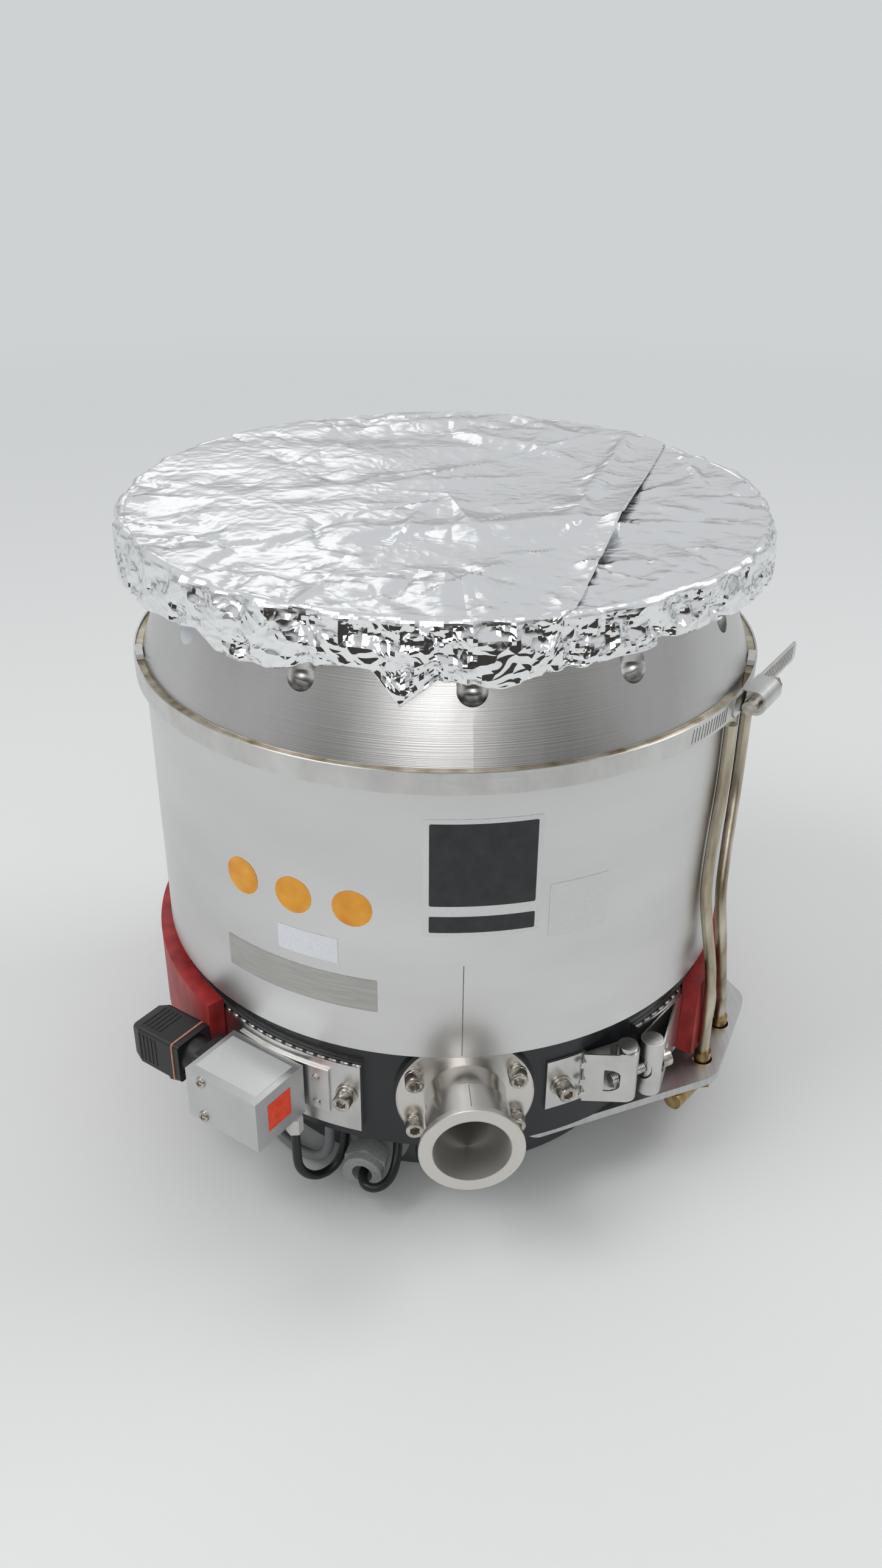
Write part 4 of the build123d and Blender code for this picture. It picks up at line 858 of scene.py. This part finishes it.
# %% Ribs on the plug
plug_ribs = []
for along in np.arange(33.0, 45.1, 3.0):
    plug_ribs += [((-25.7 - along, 32.4, 7.5), (-24.5 - along, 32.8, 24.7)),
                  ((-25.7 - along, 10.5, 29.0), (-24.5 - along, 28.5, 29.4))]
bars("plug_ribs", placed(*box_frame, blocks(*zip(*plug_ribs))), black_polyamide,
     body="plug")
print(len(plug_ribs), "ribs")

# %% [markdown]
# ## Plates and labels
# The casing carries a plate, some stickers and a strip, and so do the cone and the terminal box.
# Each is left plain. Painting them in the casing's material would give no edge, so each is a
# thin curved sheet that follows the metal under it, with rounded corners where it was die-cut.


# %% Thin sheets on a turned surface
def sticker(name, azimuths, heights, paint, skin=167.5, proud=0.12,
            corner=0.8, radius_at=None):
    """Closed sheet on the casing: a grid of azimuth by height whose rows narrow near the ends by
    corner - sqrt(corner^2 - d^2), which rounds the four corners. The lower face is 0.03 mm off."""
    low, high = heights
    half = math.radians(azimuths[1] - azimuths[0]) / 2 * skin
    rounding = corner * (1 - np.cos(np.linspace(0, math.pi / 2, 6)))
    height = np.concatenate([low + rounding, high - rounding[::-1]])[:, None]
    inside = np.minimum(height - low, high - height)
    near = np.clip(corner - inside, 0, corner)
    narrow = corner - np.sqrt(np.maximum(corner ** 2 - near ** 2, 0))
    across = np.linspace(-1, 1, 40)[None, :] * (half - narrow)
    azimuth = sum(azimuths) / 2 + np.degrees(across / skin)
    metal = (skin if radius_at is None else radius_at(height)) * np.ones_like(across)
    outer = around(azimuth, metal + proud, height)
    inner = around(azimuth, metal + 0.03, height)
    ring = np.concatenate([outer, inner[:, ::-1]], axis=1)
    return bars(name, ring[None], paint)


def cone_radius(height):
    """Radius of the cone: a straight line from 167 mm at its foot, 292 up, to 146 at 350."""
    return 167.0 + (height - 292.0) * (146.0 - 167.0) / (350.0 - 292.0)


print("cone's radius at 320 mm is", round(cone_radius(320.0), 1), "mm")

# %% [markdown]
# Printed film is satin, and the grey one is brushed along its length. Paper shows its fibres,
# drawn at 1.4 mm. The amber has faded unevenly, and the fluorescent paper is a little blotchy.

# %% Films and papers
plate_silver = worked("silver_polyester_film", 0.3, 0.38, (600, 600, 600),
                      shades=("#CFD0CF", "#D5D6D6"), depth=0.00001)[0]
plate_grey = worked("grey_polyester_film", 0.35, 0.42, (60, 60, 900),
                    shades=("#9F9F9A", "#B0B0AC"), depth=0.00001)[0]
plate_black = worked("black_vinyl_film", 0.0, 0.33, (120, 120, 120),
                     shades=("#15161A", "#26282D"), depth=0.00002)[0]
label_white = worked("white_paper_label", 0.0, 0.6, (700, 700, 700),
                     shades=("#D0D3D8", "#DADCE1"), depth=0.00003)[0]
label_amber = worked("amber_vinyl_film", 0.0, 0.38, (90, 90, 90),
                     shades=("#CF8413", "#E3A02C"), depth=0.00002)[0]
label_orange = worked("orange_fluorescent_paper", 0.0, 0.55, (300, 300, 300),
                      shades=("#E53A17", "#FA5430"), depth=0.00003)[0]

# %% Plates and stickers
panel_width = (-6.9, 11.0)
sticker("badge_plate", (-7.9, 12.0), (198, 265), plate_silver, corner=2.0)
sticker("badge_panel", panel_width, (216, 262.5), plate_black, proud=0.2, corner=1.0)
sticker("badge_strip", panel_width, (200.5, 210), plate_black, proud=0.2)
sticker("small_plate", (13.6, 25.0), (192, 224), plate_silver, corner=2.0)
sticker("paper_strip", (-34.5, -22.8), (175, 190), label_white)
sticker("name_strip", (-47.0, -15.8), (148, 168), plate_grey)
for number, middle in enumerate((-42.0, -31.0, -20.0), start=1):
    sticker(f"amber_dot_{number}", (middle - 3.6, middle + 3.6), (199.5, 220.5), label_amber,
            corner=10.4)
sticker("cone_sticker", (-73.0, -39.0), (294.0, 343.0), label_white,
        skin=157.0, corner=2.0, radius_at=cone_radius)
side_label = blocks([(25.03, 8.0, 11.0)], [(25.15, 26.0, 29.0)])
bars("box_side_label", placed(*box_frame, side_label), label_orange)
top_label = blocks([(-22.0, 33.03, 4.0)], [(21.0, 33.12, 33.0)])
bars("box_top_label", placed(*box_frame, top_label), plate_silver)
print("plates and labels done")

# %% [markdown]
# A fitter's mark runs down the casing and along the port: a dark scratch just under half a
# millimetre wide. A groove this fine would vanish, so it is a thin dark strip.

# %% Line scribed down the front
scribed = worked("scribed_aluminium", 0.6, 0.5, (50, 50, 400), shades=("#5F5E5B", "#85837E"),
                 depth=0.00002)[0]
sticker("casing_scribe", (-0.98, -0.82), (122, 180), scribed, proud=0.05, corner=0.1)
bars("port_scribe", blocks([(-0.2, -195, 112.48)], [(0.2, -178.5, 112.54)]), scribed)
print("scribed line done")

# %% [markdown]
# ## Cables
# Three short cables hang under the base: one from the terminal box, one looping below the left
# side, and one that leaves the gland in a tight fold. A mesh tube would need its bends worked
# out. Each is instead one smooth curve led by a few points, with a round bevel for its sleeve,
# and both its ends go into the pump.

# %% Cables
# Radius in mm, slot, finish, and the points in mm that lead the curve.
cable_routes = {
    "heater_cable": (2.6, "black_cord", black_sleeve, [
        (-92, -148, 56.95), (-92, -148, 42), (-91.2, -147.4, 26), (-82.3, -141.3, 13.5),
        (-71.5, -134, 13), (-65.8, -129.5, 24), (-64.5, -126.5, 37.5), (-64.5, -126.5, 51)]),
    "sensor_cable": (3.0, "grey_cord", grey_sleeve, [
        (-128, -70, 51), (-128, -70, 39), (-119, -84, 20), (-106, -99, 9.5), (-93, -112, 6),
        (-81, -120.5, 8), (-74.5, -124, 17), (-73.5, -122, 33), (-73.5, -122, 51)]),
    "base_cable": (2.6, "black_cord", black_sleeve, [
        (-53.3, -142.6, 23), (-56.4, -151, 22.6), (-54.6, -158.5, 22.2), (-47.5, -160.6, 22),
        (-39.8, -155, 23.5), (-35.8, -145, 29), (-35, -136, 39.5), (-35, -136, 51)]),
}


def cable(name, radius, sleeve, route):
    """A free cord: a NURBS curve on its route's points, with a round section."""
    curve = bpy.data.curves.new(name, "CURVE")
    curve.dimensions = "3D"
    curve.bevel_depth = radius * MM
    curve.bevel_resolution = 5
    curve.resolution_u = 14
    curve.use_fill_caps = True
    spline = curve.splines.new("NURBS")
    spline.points.add(len(route) - 1)
    for point, spot in zip(spline.points, route):
        point.co = (*(value * MM for value in spot), 1.0)
    spline.order_u = 3
    spline.use_endpoint_u = True
    curve.materials.append(sleeve)
    piece = bpy.data.objects.new(name + "_sleeve", curve)
    scene.collection.objects.link(piece)
    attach(piece, "pump")
    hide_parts(name)
    return piece


for name, (radius, slot, sleeve, route) in cable_routes.items():
    piece = cable(name, radius, sleeve, route)
    print(name, len(route), "points")
